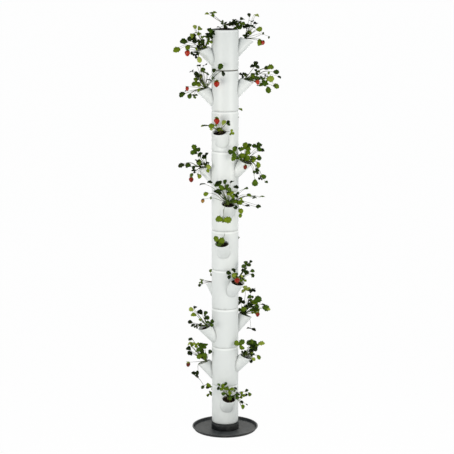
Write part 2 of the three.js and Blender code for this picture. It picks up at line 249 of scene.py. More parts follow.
# A slightly cool room that is plain white to the camera, with a pale floor
room = {
    "color": (0.945, 0.99, 1.0, 1),
    "light": 0.43,  # what it lends to matt surfaces
    "sheen": 0.20,  # what a glossy surface sees of it
    "overhead": 0.45,  # how much brighter it is straight above
    "brightFrom": 0.2,  # where that starts: 0 is level and 1 straight above
    "floorRadius": 60,  # metres
    "floorSteps": 64,
    "floorColor": (0.9, 0.9, 0.9, 1),
    "floorGlow": 0.97,  # how much plain white is mixed into it as the camera sees it
    "floorSheen": 0.25,  # and as a glossy surface does
}


def makeRoom():
    world = bpy.data.worlds.new("room")
    world.use_nodes = True
    bpy.context.scene.world = world
    tree = world.node_tree
    direction = addNode(tree, "ShaderNodeTexCoord").outputs["Generated"]
    above = band(tree, axisOf(tree, direction, "Z"), room["brightFrom"], 1, 0, room["overhead"])
    matt = maths(tree, "ADD", above, room["light"])
    straight = addNode(tree, "ShaderNodeLightPath").outputs["Is Camera Ray"]
    feedAll(tree, tree.nodes["Background"].inputs, {
        "Color": mixColor(tree, straight, room["color"], white),
        "Strength": perRay(tree, 1.0, room["sheen"], matt),
    })


def newPiece(name, bm, materials):
    mesh = bpy.data.meshes.new(name)
    bm.to_mesh(mesh)
    bm.free()
    for material in materials:
        mesh.materials.append(material)
    piece = bpy.data.objects.new(name, mesh)
    bpy.context.scene.collection.objects.link(piece)
    return piece


def makeFloor():
    material = bpy.data.materials.new("paleFloor")
    material.use_nodes = True
    tree = material.node_tree
    tree.nodes.clear()
    matt = addNode(tree, "ShaderNodeBsdfDiffuse", {"Color": room["floorColor"]})
    glow = addNode(tree, "ShaderNodeEmission", {"Color": white, "Strength": 1})
    share = perRay(tree, room["floorGlow"], room["floorSheen"], 0.0)
    mixed = addNode(tree, "ShaderNodeMixShader", {0: share, 1: matt.outputs[0], 2: glow.outputs[0]})
    addNode(tree, "ShaderNodeOutputMaterial", {"Surface": mixed.outputs[0]})
    bm = bmesh.new()
    bmesh.ops.create_circle(bm, cap_ends=True, radius=room["floorRadius"], segments=room["floorSteps"])
    newPiece("floor", bm, [material])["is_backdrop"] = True


makeCamera()
for name, lamp in lamps.items():
    softLamp(name, **lamp)
makeRoom()
makeFloor()
bpy.context.scene.view_settings.view_transform = "Standard"
print("camera, lamps and floor ready")


# Shader groups. In them and in the finishes below, a noise is given by its scale, detail and roughness,
# and a band by where it starts and ends and its values there, if they aren't 0 and 1.
def startGroup(name, inputs, outputs):
    group = bpy.data.node_groups.new(name, "ShaderNodeTree")
    for label, value in inputs.items():
        kind = "NodeSocketColor" if isinstance(value, tuple) else "NodeSocketFloat"
        group.interface.new_socket(label, in_out="INPUT", socket_type=kind).default_value = value
    for label, kind in outputs.items():
        group.interface.new_socket(label, in_out="OUTPUT", socket_type="NodeSocket" + kind)
    return group, addNode(group, "NodeGroupInput").outputs, addNode(group, "NodeGroupOutput").inputs


def useGroup(tree, group, **inputs):
    made = addNode(tree, "ShaderNodeGroup", node_tree=group)
    feedAll(tree, made.inputs, inputs)
    return made.outputs


# Moulded plastic: slow mottling of the colour, a fine orange peel, and dust where a face looks up
mouldedLook = {
    "mottleNoise": (14, 3),
    "dustFacing": (0.2, 1),
    "speckNoise": (900, 4, 0.7),
    "speckBand": (0.48, 0.66, 0.35, 1),
    "patchNoise": (30, 4, 0.6),
    "patchBand": (0.3, 0.65, 0.4, 1),
    "grainNoise": (420,),
    "grainRoughness": 0.12,
    "dustRoughness": 0.35,
    "peelNoise": (45,),
    "peelDepth": 0.5,
}


def makeMouldedGroup():
    look = mouldedLook
    inputs = {
        "color": white, "dustColor": white, "roughness": 0.5,
        "mottle": 0.0, "dust": 0.0, "peel": 0.0,
    }
    outputs = {"color": "Color", "roughness": "Float", "normal": "Vector"}
    group, given, result = startGroup("mouldedPlastic", inputs, outputs)
    place = objectPlace(group)
    mottle = noiseDrift(group, place, *look["mottleNoise"])
    shade = maths(group, "MULTIPLY_ADD", mottle, given["mottle"], 1)
    facing = addNode(group, "ShaderNodeNewGeometry").outputs["Normal"]
    upward = band(group, axisOf(group, facing, "Z"), *look["dustFacing"])
    speck = noiseBand(group, place, look["speckNoise"], look["speckBand"])
    patch = noiseBand(group, place, look["patchNoise"], look["patchBand"])
    settled = product(group, upward, patch, speck)
    dusty = maths(group, "MULTIPLY", settled, given["dust"], clamp=True)
    shaded = vectorMaths(group, "SCALE", {0: given["color"], "Scale": shade}, "Vector")
    grain = noiseDrift(group, place, *look["grainNoise"])
    grainy = maths(group, "MULTIPLY_ADD", grain, look["grainRoughness"], given["roughness"])
    peel = noiseValue(group, place, *look["peelNoise"])
    feedAll(group, result, {
        "color": mixColor(group, dusty, shaded, given["dustColor"]),
        "roughness": maths(group, "MULTIPLY_ADD", dusty, look["dustRoughness"], grainy),
        "normal": bumpNormal(group, peel, given["peel"], look["peelDepth"]),
    })
    return group


# The marks at every seam between two tiers: broken soil stains just above and below it, painted shade
# in its gap, darkest at the uppermost seam, and a painted highlight on the shoulder below it, where
# light from above would fall. The bands are shares of a tier's height from the seam.
seamLook = {
    "stainAbove": (0.002, 0.06, 1, 0),
    "stainBelow": (0.965, 0.998, 0, 0.4),
    "smear": (60, 60, 14),
    "patchNoise": (1, 4, 0.65),
    "patchBand": (0.42, 0.72),
    # painted shade in the seam's gap, darkest at the uppermost seam
    "gapAbove": (0.008, 0.026, 1, 0),
    "gapBelow": (0.986, 0.996, 0, 1),
    "gapPatches": 0.25,
    "gapShade": (-0.8, -0.1, 0.08, 0.95),  # in tiers from the uppermost seam
    # a painted highlight on the shoulder below each seam, where light from above would fall
    "highlightFrom": (0.930, 0.955),
    "highlightTo": (0.975, 0.99, 1, 0),
}


def makeSeamGroup():
    look = seamLook
    inputs = {"firstSeam": 0.0, "pitch": 1.0, "lastSeam": 1.0, "stains": 0.5}
    group, given, result = startGroup("seamStainsShadeHighlight", inputs, {"stainsAndGapShade": "Float", "shoulderHighlight": "Float"})
    place = objectPlace(group)
    height = maths(group, "SUBTRACT", axisOf(group, place, "Z"), given["firstSeam"])
    tiers = maths(group, "DIVIDE", height, given["pitch"])
    share = maths(group, "FRACT", tiers)
    above = band(group, share, *look["stainAbove"])
    near = maths(group, "MAXIMUM", above, band(group, share, *look["stainBelow"]))
    smearInputs = {"Vector": place, "Scale": look["smear"]}
    smeared = addNode(group, "ShaderNodeMapping", smearInputs).outputs["Vector"]
    patches = noiseBand(group, smeared, look["patchNoise"], look["patchBand"])
    # painted shade in the seam's gap, darkest at the uppermost seam, joined to the soil stains
    gapAbove = band(group, share, *look["gapAbove"])
    gap = maths(group, "MAXIMUM", gapAbove, band(group, share, *look["gapBelow"]))
    shadeByTier = band(group, maths(group, "SUBTRACT", tiers, given["lastSeam"]), *look["gapShade"])
    gapShading = maths(group, "MULTIPLY_ADD", patches, look["gapPatches"], shadeByTier)
    stains = product(group, near, patches, given["stains"])
    # the painted highlight on the shoulder below the seam
    highlightFrom = band(group, share, *look["highlightFrom"])
    feedAll(group, result, {
        "stainsAndGapShade": maths(group, "MAXIMUM", stains, product(group, gap, gapShading), clamp=True),
        "shoulderHighlight": product(group, highlightFrom, band(group, share, *look["highlightTo"])),
    })
    return group


# Painted shade: a dark line in the crotch where a pocket leaves the column, where shadow falls, fading
# out down the pocket's sides.
# The tier carries each point's place off the axis in column radii, and its height over the pocket's tip
# as a share of the pocket's reach.
crotchShadeLook = {
    "columnFace": (1.002, 1.01),
    "fade": (1.01, 1.17, 1, 0),
    "heightBand": (-0.6, 0.15),
}


def makeCrotchShadeGroup():
    look = crotchShadeLook
    group, given, result = startGroup("paintedCrotchShade", {"amount": 0.5}, {"mask": "Float"})
    place = addNode(group, "ShaderNodeAttribute", attribute_name="onTier").outputs["Vector"]
    level = vectorMaths(group, "MULTIPLY", {0: place, 1: (1, 1, 0)}, "Vector")
    off = vectorMaths(group, "LENGTH", {0: level}, "Value")
    beside = product(group, band(group, off, *look["columnFace"]), band(group, off, *look["fade"]))
    upper = band(group, axisOf(group, place, "Z"), *look["heightBand"])
    feed(group, result["mask"], product(group, beside, upper, given["amount"]))
    return group


# Leaf veins on the leaf's own map: a midrib and side veins that run forwards from it
veinLook = {
    "midrib": (0.012, 0.045, 1, 0),
    "sideVein": (0.02, 0.11, 1, 0),
    "sideStrength": 0.7,
}


def makeVeinGroup():
    look = veinLook
    inputs = {"pairs": 5.0, "sweep": 0.5}
    group, given, result = startGroup("leafVeins", inputs, {"mask": "Float", "height": "Float"})
    leafMap = addNode(group, "ShaderNodeUVMap", uv_map="leafMap").outputs["UV"]
    off = maths(group, "ABSOLUTE", maths(group, "SUBTRACT", axisOf(group, leafMap, "Y"), 0.5))
    swept = maths(group, "SUBTRACT", axisOf(group, leafMap, "X"), product(group, off, given["sweep"]))
    wave = maths(group, "PINGPONG", product(group, swept, given["pairs"]), 0.5)
    side = product(group, band(group, wave, *look["sideVein"]), look["sideStrength"])
    mask = maths(group, "MAXIMUM", band(group, off, *look["midrib"]), side)
    height = maths(group, "SUBTRACT", maths(group, "SQRT", wave), mask)
    feedAll(group, result, {"mask": mask, "height": height})
    return group


mouldedGroup = makeMouldedGroup()
seamGroup = makeSeamGroup()
crotchShadeGroup = makeCrotchShadeGroup()
veinGroup = makeVeinGroup()


def startMaterial(name):
    material = bpy.data.materials.new(name)
    material.use_nodes = True
    return material, material.node_tree, material.node_tree.nodes["Principled BSDF"].inputs


def seamHeight(tier):
    return next(joint["pos_m"][2] for joint in frame["joints"] if joint["child"] == tier)


tierNames = sorted(name for name in frame["bodies"] if name.startswith("tier_"))
firstSeam = seamHeight(tierNames[0])
tierPitch = seamHeight(tierNames[1]) - firstSeam
plasticIndex = 1.49  # how strongly the plastics bend light

# White moulded plastic with a satin face, faint soil marks, painted shade in the seam gaps and in the
# crotches of the pockets, and a painted highlight on the shoulders; and the dirtier kind inside the
# pockets
whiteLook = {
    "body": {
        "color": (0.79, 0.81, 0.80, 1),
        "dustColor": (0.42, 0.36, 0.28, 1),
        "mottle": 0.05,
        "peel": 0.12,
    },
    "stains": 0.22,
    "markNoise": (38, 5, 0.7),
    "markFrom": 0.56,
    "markTo": 0.78,
    # the colour of the painted highlight on the shoulders
    "shoulderHighlightColor": (0.92, 0.935, 0.925, 1),
    "grimeAndShadeColor": (0.13, 0.12, 0.095, 1),
    # the colour of the soil marks and of the painted shade in the seam gaps
    "grimeRoughness": 0.4,
    # the strength and colour of the painted shade in the pocket crotches
    "crotchShade": 0.95,
    "crotchShadeColor": (0.07, 0.073, 0.07, 1),
}
cleanWhite = {"dust": 0.06, "roughness": 0.40, "marks": 0.03}
soiledWhite = {"dust": 0.36, "roughness": 0.55, "marks": 0.78}


def makeWhitePlastic(name, dust, roughness, marks):
    look = whiteLook
    material, tree, shader = startMaterial(name)
    body = useGroup(tree, mouldedGroup, dust=dust, roughness=roughness, **look["body"])
    places = {"firstSeam": firstSeam, "pitch": tierPitch, "lastSeam": len(tierNames) - 1}
    seams = useGroup(tree, seamGroup, stains=look["stains"], **places)
    markBand = (look["markFrom"], look["markTo"], 0, marks)
    spots = noiseBand(tree, objectPlace(tree), look["markNoise"], markBand)
    # soil marks and stains, and the painted shade in the seam gaps
    dirtAndShade = maths(tree, "MAXIMUM", seams["stainsAndGapShade"], spots)
    # the painted highlight on each shoulder
    shoulderHighlight = mixColor(tree, seams["shoulderHighlight"], body["color"], look["shoulderHighlightColor"])
    marked = mixColor(tree, dirtAndShade, shoulderHighlight, look["grimeAndShadeColor"])
    # painted shade in the crotch where each pocket leaves the column
    crotchShade = useGroup(tree, crotchShadeGroup, amount=look["crotchShade"])["mask"]
    feedAll(tree, shader, {
        "Base Color": mixColor(tree, crotchShade, marked, look["crotchShadeColor"]),
        "Roughness": maths(tree, "MULTIPLY_ADD", dirtAndShade, look["grimeRoughness"], body["roughness"]),
        "Normal": body["normal"],
        "IOR": plasticIndex,
    })
    return material


# Dark grey moulded plastic with dust and dried splashes
darkLook = {
    "body": {
        "color": (0.006, 0.0078, 0.0092, 1),
        "dustColor": (0.178, 0.190, 0.197, 1),
        "mottle": 0.3,
        "dust": 0.9,
        "roughness": 0.42,
        "peel": 0.2,
    },
    "splashNoise": (22, 4, 0.6),
    "splashBand": (0.5, 0.64, 0, 0.15),
    "splashColor": (0.19, 0.18, 0.165, 1),
}


def makeDarkPlastic():
    look = darkLook
    material, tree, shader = startMaterial("darkPlastic")
    body = useGroup(tree, mouldedGroup, **look["body"])
    splash = noiseBand(tree, objectPlace(tree), look["splashNoise"], look["splashBand"])
    feedAll(tree, shader, {
        "Base Color": mixColor(tree, splash, body["color"], look["splashColor"]),
        "Roughness": body["roughness"],
        "Normal": body["normal"],
        "IOR": plasticIndex,
    })
    return material


# Potting soil: dark crumbs with pale bits of husk
soilLook = {
    "clodNoise": (160, 5, 0.7),
    "browns": [
        (0.30, (0.004, 0.003, 0.002)),
        (0.55, (0.015, 0.009, 0.006)),
        (0.78, (0.050, 0.030, 0.018)),
    ],
    "crumbCells": 420,
    "huskNoise": (310, 2, 0.6),
    "huskBand": (0.64, 0.70),
    "huskColors": ((0.34, 0.25, 0.13, 1), (0.18, 0.12, 0.06, 1)),
    "roughness": 0.95,
    "shine": 0.1,
    "crumbShare": 0.6,
    "bump": 0.9,
    "bumpDepth": 2,
}


def makeSoil():
    look = soilLook
    material, tree, shader = startMaterial("pottingSoil")
    place = objectPlace(tree)
    clods = noiseValue(tree, place, *look["clodNoise"])
    cells = cellValue(tree, place, look["crumbCells"])
    husk = noiseBand(tree, place, look["huskNoise"], look["huskBand"])
    pale = mixColor(tree, cells, *look["huskColors"])
    crumbs = maths(tree, "MULTIPLY_ADD", cells, look["crumbShare"], clods)
    feedAll(tree, shader, {
        "Base Color": mixColor(tree, husk, ramp(tree, clods, look["browns"]), pale),
        "Roughness": look["roughness"],
        "Specular IOR Level": look["shine"],
        "Normal": bumpNormal(tree, crumbs, look["bump"], look["bumpDepth"]),
    })
    return material


# Strawberry leaves, from nearly black green to a pale olive as each leaf's tone says, which mixes the
# leaf's own colour with painted shade, nearly black for a leaf in shadow
leafLook = {
    "driftNoise": (70, 3),
    "drift": 0.35,
    "greens": [
        (0.00, (0.001, 0.003, 0.001)),
        (0.20, (0.004, 0.014, 0.001)),
        (0.45, (0.050, 0.102, 0.005)),
        (0.70, (0.180, 0.252, 0.010)),
        (1.00, (0.400, 0.460, 0.095)),
    ],
    "underside": 0.25,
    "undersideColor": (0.08, 0.12, 0.03, 1),
    "undersideRoughness": 0.2,
    "veins": {"pairs": 7.0, "sweep": 0.55},
    "veinTint": 0.22,
    "veinColor": (0.24, 0.32, 0.07, 1),
    "veinBump": 0.55,
    "veinDepth": 0.5,
    "spotNoise": (240, 3, 0.7),
    "spotBand": (0.68, 0.74, 0, 0.5),
    "spotColor": (0.11, 0.055, 0.02, 1),
    "roughness": 0.46,
    "shine": 0.05,
}


def makeLeaf():
    look = leafLook
    material, tree, shader = startMaterial("strawberryLeaf")
    place = objectPlace(tree)
    drift = noiseDrift(tree, place, *look["driftNoise"])
    tone = maths(tree, "MULTIPLY_ADD", drift, look["drift"], attributeValue(tree, "tone"))
    underside = attributeValue(tree, "underside")
    rough = maths(tree, "MULTIPLY_ADD", underside, look["undersideRoughness"], look["roughness"])
    paled = product(tree, underside, look["underside"])
    green = mixColor(tree, paled, ramp(tree, tone, look["greens"]), look["undersideColor"])
    veins = useGroup(tree, veinGroup, **look["veins"])
    veined = mixColor(tree, product(tree, veins["mask"], look["veinTint"]), green, look["veinColor"])
    spots = noiseBand(tree, place, look["spotNoise"], look["spotBand"])
    feedAll(tree, shader, {
        "Base Color": mixColor(tree, spots, veined, look["spotColor"]),
        "Roughness": rough,
        "Specular IOR Level": look["shine"],
        "Normal": bumpNormal(tree, veins["height"], look["veinBump"], look["veinDepth"]),
    })
    return material


# Stalks and runners: green that goes red in stretches
stalkLook = {
    "greenNoise": (55, 3),
    "greens": [
        (0.35, (0.022, 0.040, 0.003)),
        (0.60, (0.090, 0.138, 0.010)),
        (0.80, (0.215, 0.265, 0.035)),
    ],
    "blushNoise": (24, 2),
    "blushBand": (0.52, 0.64, 0, 0.7),
    "blushColor": (0.07, 0.014, 0.008, 1),
    "roughness": 0.5,
    "hairNoise": (900,),
    "hairBump": 0.5,
    "hairDepth": 0.3,
}


def makeStalk():
    look = stalkLook
    material, tree, shader = startMaterial("stalk")
    place = objectPlace(tree)
    green = ramp(tree, noiseValue(tree, place, *look["greenNoise"]), look["greens"])
    blush = noiseBand(tree, place, look["blushNoise"], look["blushBand"])
    hairs = noiseValue(tree, place, *look["hairNoise"])
    feedAll(tree, shader, {
        "Base Color": mixColor(tree, blush, green, look["blushColor"]),
        "Roughness": look["roughness"],
        "Normal": bumpNormal(tree, hairs, look["hairBump"], look["hairDepth"]),
    })
    return material


# Berry skin, from orange to a deep red as its tone says, with a dimple round every seed
berryLook = {
    "driftNoise": (90, 3),
    "drift": 0.3,
    "reds": [
        (0.00, (0.030, 0.070, 0.008)),
        (0.16, (0.300, 0.220, 0.050)),
        (0.34, (0.490, 0.024, 0.008)),
        (0.62, (0.340, 0.003, 0.002)),
        (1.00, (0.080, 0.001, 0.001)),
    ],
    "roughness": 0.28,
    "coat": 0.18,
    "coatRoughness": 0.12,
    "shine": 0.15,
    "dimpleCells": 330,
    "dimpleBump": 0.35,
    "dimpleDepth": 0.7,
}


def makeBerry():
    look = berryLook
    material, tree, shader = startMaterial("berrySkin")
    place = objectPlace(tree)
    drift = noiseDrift(tree, place, *look["driftNoise"])
    tone = maths(tree, "MULTIPLY_ADD", drift, look["drift"], attributeValue(tree, "tone"))
    dimples = cellValue(tree, place, look["dimpleCells"])
    feedAll(tree, shader, {
        "Base Color": ramp(tree, tone, look["reds"]),
        "Roughness": look["roughness"],
        "Coat Weight": look["coat"],
        "Coat Roughness": look["coatRoughness"],
        "Specular IOR Level": look["shine"],
        "Normal": bumpNormal(tree, dimples, look["dimpleBump"], look["dimpleDepth"]),
    })
    return material


# Berry seeds and husk: each drifts between two tones
seedLook = {
    "pattern": (500,),
    "stops": [(0.3, (0.42, 0.24, 0.05)), (0.7, (0.66, 0.50, 0.16))],
    "roughness": 0.4,
}
huskLook = {
    "pattern": (260, 3),
    "stops": [(0.3, (0.16, 0.10, 0.045)), (0.7, (0.42, 0.32, 0.17))],
    "roughness": 0.8,
}


def makeTwoToned(name, pattern, stops, roughness):
    material, tree, shader = startMaterial(name)
    color = ramp(tree, noiseValue(tree, objectPlace(tree), *pattern), stops)
    feedAll(tree, shader, {"Base Color": color, "Roughness": roughness})
    return material


whitePlastic = makeWhitePlastic("whitePlastic", **cleanWhite)
soiledPlastic = makeWhitePlastic("soiledWhitePlastic", **soiledWhite)
darkPlastic = makeDarkPlastic()
pottingSoil = makeSoil()
strawHusk = makeTwoToned("strawHusk", **huskLook)
plantFinishes = [makeLeaf(), makeStalk(), makeBerry(), makeTwoToned("berrySeed", **seedLook)]
leafIndex, stalkIndex, berryIndex, seedIndex = range(len(plantFinishes))
print("finishes mixed")

# One tier's moulding: a pipe with a spigot below, a rounded shoulder above and two slanted oval pockets
tierSizes = {
    "radius": 62.5,
    "wall": 2.6,
    "shoulderHeight": 10,
    "shoulderDepth": 4.5,
    "shoulderStep": 0.45,  # the small ledge where the shoulder starts
    "rimLand": 2.3,
    "hemHeight": 14,
    "hemDepth": 3.5,
    "spigotLength": 18,
    "spigotClearance": 0.4,
    "seatGap": 0.3,
    "pocketWidth": 66,
    "pocketDepth": 57,
    "pocketWall": 2.5,
    "pocketLean": 45,
    "mouthSlope": 20,
    "lipRound": 0.95,
    "pipeSteps": 96,
    "pocketSteps": 72,
    "arcSteps": 7,
    "cutterRun": 190,  # the length of the rods that make the pockets
    "coreRun": 760,  # and of the one that keeps them out of the pipe
    "tipSlack": 0.1,  # how far from the farthest corner a tip may lie
    "mouthSlack": 0.02,  # and an edge of the mouth from its plane
    "boreSlack": 1.01,  # with 1 on the bore's wall, what is up to this counts as inside it
    "weld": 1e-3,  # corners of the cut shell that lie nearer than this are joined
    "sharpFrom": 28,
}
shellHeight = tierPitch / mm - tierSizes["seatGap"]
socketRadius = tierSizes["radius"] - tierSizes["shoulderDepth"] - tierSizes["rimLand"]
tiny = 1e-4  # lengths below this count as none
creaseAngle = 20  # edges that bend by more than this get a round
roundSteps = 3


# The corners of a tier's shell that are farthest from the column's axis are the tips of its pockets
def pocketTips(tier):
    corners = [vertex.co for vertex in frame["nodes"][tier + "_shell"].data.vertices]
    reach = max(corner.xy.length for corner in corners)
    return [corner for corner in corners if corner.xy.length > reach - tierSizes["tipSlack"] * mm]


def highTip(tier):
    return max(pocketTips(tier), key=lambda tip: tip.z)


pocketReach = highTip(tierNames[0]).xy.length / mm
tipHeights = {
    "high": (highTip(tierNames[0]).z - firstSeam) / mm,
    "low": (min(tip.z for tip in pocketTips(tierNames[0])) - firstSeam) / mm,
}
facings = {"high": -90, "low": 90}  # before the tier is turned

# The lines of a pocket in the plane through the column's axis, from its tip
leanAngle = math.radians(tierSizes["pocketLean"])
pocketAlong = Vector((math.cos(leanAngle), 0, math.sin(leanAngle)))
pocketInwards = Vector((-math.sin(leanAngle), 0, math.cos(leanAngle)))
pocketTip = Vector((pocketReach, 0, 0))
axisFoot = pocketTip + pocketInwards * tierSizes["pocketDepth"] / 2
mouthAngle = math.radians(tierSizes["mouthSlope"])
mouthNormal = Vector((math.sin(mouthAngle), 0, math.cos(mouthAngle)))
mouthDown = Vector((math.cos(mouthAngle), 0, -math.sin(mouthAngle)))


# Where the pocket's axis is, this far under the mouth
def onPocketAxis(drop):
    run = (axisFoot - pocketTip).dot(mouthNormal) + drop
    return axisFoot - pocketAlong * (run / pocketAlong.dot(mouthNormal))


def rimHeight(out):
    return (pocketReach - out) * math.tan(mouthAngle)


def spun(profile, steps):
    bm = bmesh.new()
    corners = [bm.verts.new((radius, 0, height)) for radius, height in profile]
    edges = [bm.edges.new(pair) for pair in zip(corners, corners[1:] + corners[:1])]
    turn = {"axis": up, "cent": (0, 0, 0), "angle": fullTurn, "steps": steps, "use_merge": True}
    bmesh.ops.spin(bm, geom=corners + edges, **turn)
    bmesh.ops.remove_doubles(bm, verts=bm.verts, dist=tiny)
    bmesh.ops.dissolve_degenerate(bm, edges=bm.edges, dist=tiny)
    bmesh.ops.recalc_face_normals(bm, faces=bm.faces)
    return bm


def edgeArc(depth, start, rise):
    points = []
    for step in range(tierSizes["arcSteps"] + 1):
        angle = step / tierSizes["arcSteps"] * quarterTurn
        radius = tierSizes["radius"] - depth * (1 - math.sin(angle))
        points.append((radius, start + rise * (1 - math.cos(angle))))
    return points


def tierProfile():
    size = tierSizes
    inner = size["radius"] - size["wall"]
    spigot = socketRadius - size["spigotClearance"]
    spigotInner = spigot - size["wall"]
    foot = shellHeight - size["shoulderHeight"]
    shoulder = edgeArc(size["shoulderDepth"], shellHeight, -size["shoulderHeight"])
    return [
        (spigotInner, -size["spigotLength"]),
        (spigot, -size["spigotLength"]),
        (spigot, 0),
        *edgeArc(size["hemDepth"], 0, size["hemHeight"]),
        (size["radius"], foot - size["shoulderStep"]),
        *((radius - size["shoulderStep"], height) for radius, height in reversed(shoulder)),
        (socketRadius, shellHeight),
        (inner, foot),
        (inner, size["hemHeight"]),
        (inner - size["hemDepth"], size["wall"]),
        (spigotInner, size["wall"]),
    ]


def pocketPlace(pocket):
    lift = Matrix.Translation((0, 0, tipHeights[pocket]))
    return Matrix.Rotation(math.radians(facings[pocket]), 4, "Z") @ lift


# An oval rod along a pocket's axis, an inset smaller than the pocket all round
def pocketRod(pocket, inset, cutAtMouth):
    size = tierSizes
    bm = bmesh.new()
    bmesh.ops.create_cone(bm, cap_ends=True, segments=size["pocketSteps"], radius1=1, radius2=1, depth=1)
    halfDepth = size["pocketDepth"] / 2 - inset
    halfWidth = size["pocketWidth"] / 2 - inset
    bmesh.ops.scale(bm, vec=(halfDepth, halfWidth, size["cutterRun"]), verts=bm.verts)
    bmesh.ops.translate(bm, vec=(0, 0, size["pocketDepth"] - size["cutterRun"] / 2), verts=bm.verts)
    bmesh.ops.rotate(bm, matrix=Matrix.Rotation(quarterTurn - leanAngle, 3, "Y"), verts=bm.verts)
    bmesh.ops.translate(bm, vec=axisFoot, verts=bm.verts)
    if cutAtMouth:
        everything = bm.verts[:] + bm.edges[:] + bm.faces[:]
        cut = bmesh.ops.bisect_plane(
            bm, geom=everything, plane_co=pocketTip, plane_no=mouthNormal, clear_outer=True
        )
        rim = [item for item in cut["geom_cut"] if isinstance(item, bmesh.types.BMEdge)]
        bmesh.ops.contextual_create(bm, geom=rim)
    bmesh.ops.transform(bm, matrix=pocketPlace(pocket), verts=bm.verts)
    return bm


def bakedBoolean(base, steps):
    for operation, tool in steps:
        cut = base.modifiers.new(operation, "BOOLEAN")
        cut.operation = operation
        cut.solver = "EXACT"
        cut.object = tool
    bpy.context.view_layer.update()
    return bpy.data.meshes.new_from_object(base.evaluated_get(bpy.context.evaluated_depsgraph_get()))


def removeTools(tools):
    for tool in tools:
        bpy.data.objects.remove(tool)


def insideBore(point, pocket):
    local = pocketPlace(pocket).inverted() @ point - axisFoot
    across = local.dot(pocketInwards) / (tierSizes["pocketDepth"] / 2 - tierSizes["pocketWall"])
    aside = local.y / (tierSizes["pocketWidth"] / 2 - tierSizes["pocketWall"])
    return across ** 2 + aside ** 2 < tierSizes["boreSlack"]


def isCrease(edge):
    return edge.calc_face_angle(0) > math.radians(creaseAngle)


def roundEdges(bm, edges, radius):
    bmesh.ops.bevel(
        bm, geom=edges, offset=radius, offset_type="OFFSET", affect="EDGES",
        segments=roundSteps, profile=0.5, material=-1, clamp_overlap=True,
    )


def isOnMouth(edge, pocket):
    place = pocketPlace(pocket)
    normal = place.to_3x3() @ mouthNormal
    gaps = [(vertex.co - place @ pocketTip).dot(normal) for vertex in edge.verts]
    return all(abs(gap) < tierSizes["mouthSlack"] for gap in gaps)


def makeTierMaster():
    size = tierSizes
    pipe = newPiece("pipe", spun(tierProfile(), size["pipeSteps"]), [])
    core = bmesh.new()
    coreRadius = size["radius"] - size["wall"] / 2
    coreOptions = {"segments": size["pipeSteps"], "radius1": coreRadius, "radius2": coreRadius}
    bmesh.ops.create_cone(core, cap_ends=True, depth=size["coreRun"], **coreOptions)
    tools = {"core": newPiece("core", core, [])}
    steps = []
    for pocket in facings:
        tube = newPiece("tube", pocketRod(pocket, 0, True), [])
        tools[pocket] = newPiece("trimmedTube", bmesh.new(), [])
        tools[pocket].data = bakedBoolean(tube, [("DIFFERENCE", tools["core"])])
        steps.append(("UNION", tools[pocket]))
        bpy.data.objects.remove(tube)
    for pocket in facings:
        tools[pocket + "Bore"] = newPiece("bore", pocketRod(pocket, size["pocketWall"], False), [])
        steps.append(("DIFFERENCE", tools[pocket + "Bore"]))
    bm = bmesh.new()
    bm.from_mesh(bakedBoolean(pipe, steps))
    removeTools([pipe, *tools.values()])
    bmesh.ops.remove_doubles(bm, verts=bm.verts, dist=size["weld"])
    creases = [edge for edge in bm.edges if isCrease(edge)]
    lips = [edge for pocket in facings for edge in creases if isOnMouth(edge, pocket)]
    roundEdges(bm, lips, size["lipRound"])
    for face in bm.faces:
        middle = face.calc_center_median()
        inPocket = any(insideBore(middle, pocket) for pocket in facings)
        face.material_index = int(inPocket and middle.xy.length > coreRadius)
    onTier = bm.verts.layers.float_vector.new("onTier")
    for vertex in bm.verts:
        tip = tipHeights["high" if vertex.co.y < 0 else "low"]
        vertex[onTier] = (*(vertex.co.xy / size["radius"]), (vertex.co.z - tip) / pocketReach)
    return bm


def shadeSmooth(mesh, sharpFrom):
    mesh.polygons.foreach_set("use_smooth", [True] * len(mesh.polygons))
    mesh.set_sharp_from_angle(angle=math.radians(sharpFrom))


# A tier's turn and place on the column, with an extra turn or lift where a piece of it needs one
def tierPlace(tier, turn=0, lift=0):
    tip = highTip(tier)
    turned = Matrix.Rotation(math.atan2(tip.x, -tip.y) + math.radians(turn), 4, "Z")
    return Matrix.Scale(mm, 4) @ Matrix.Translation((0, 0, seamHeight(tier) / mm + lift)) @ turned


tierMaster = makeTierMaster()
for tier in tierNames:
    copied = tierMaster.copy()
    bmesh.ops.transform(copied, matrix=tierPlace(tier), verts=copied.verts)
    moulding = newPiece(tier + "_moulding", copied, [whitePlastic, soiledPlastic])
    shadeSmooth(moulding.data, tierSizes["sharpFrom"])
    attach(moulding, tier)
    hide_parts(tier + "_shell")
print("tiers moulded:", len(tierNames), "of", len(tierMaster.faces), "faces each")
tierMaster.free()


# The foot: a round saucer with a lip, a dark collar in its middle, and drains under the collar
footSizes = {
    "saucerRadius": 156,
    "saucerHeight": 14,
    "floor": 3,
    "wall": 3,
    "flare": 5,
    "lip": 4,
    "saucerSteps": 144,
    "collarProud": 2.5,
    "collarTopProud": 0.5,
    "collarStep": 8,
    "collarWall": 5,
    "ledgeWidth": 5,
    "ledgeTop": 12.4,
    "ledgeHeight": 3,
    "keyHeight": 4,
    "keyWall": 2.5,
    "keyClearance": 0.4,
    "notchWidth": 14,
    "notchHeight": 4,
    "notches": 3,
    "edgeRound": 0.7,
    "overrun": 5,
    "sharpFrom": 30,
}
collarRadius = tierSizes["radius"] + footSizes["collarProud"]
collarInner = collarRadius - footSizes["collarWall"]


def roundedSpin(profile, steps, radius):
    bm = spun(profile, steps)
    roundEdges(bm, [edge for edge in bm.edges if isCrease(edge)], radius)
    return bm


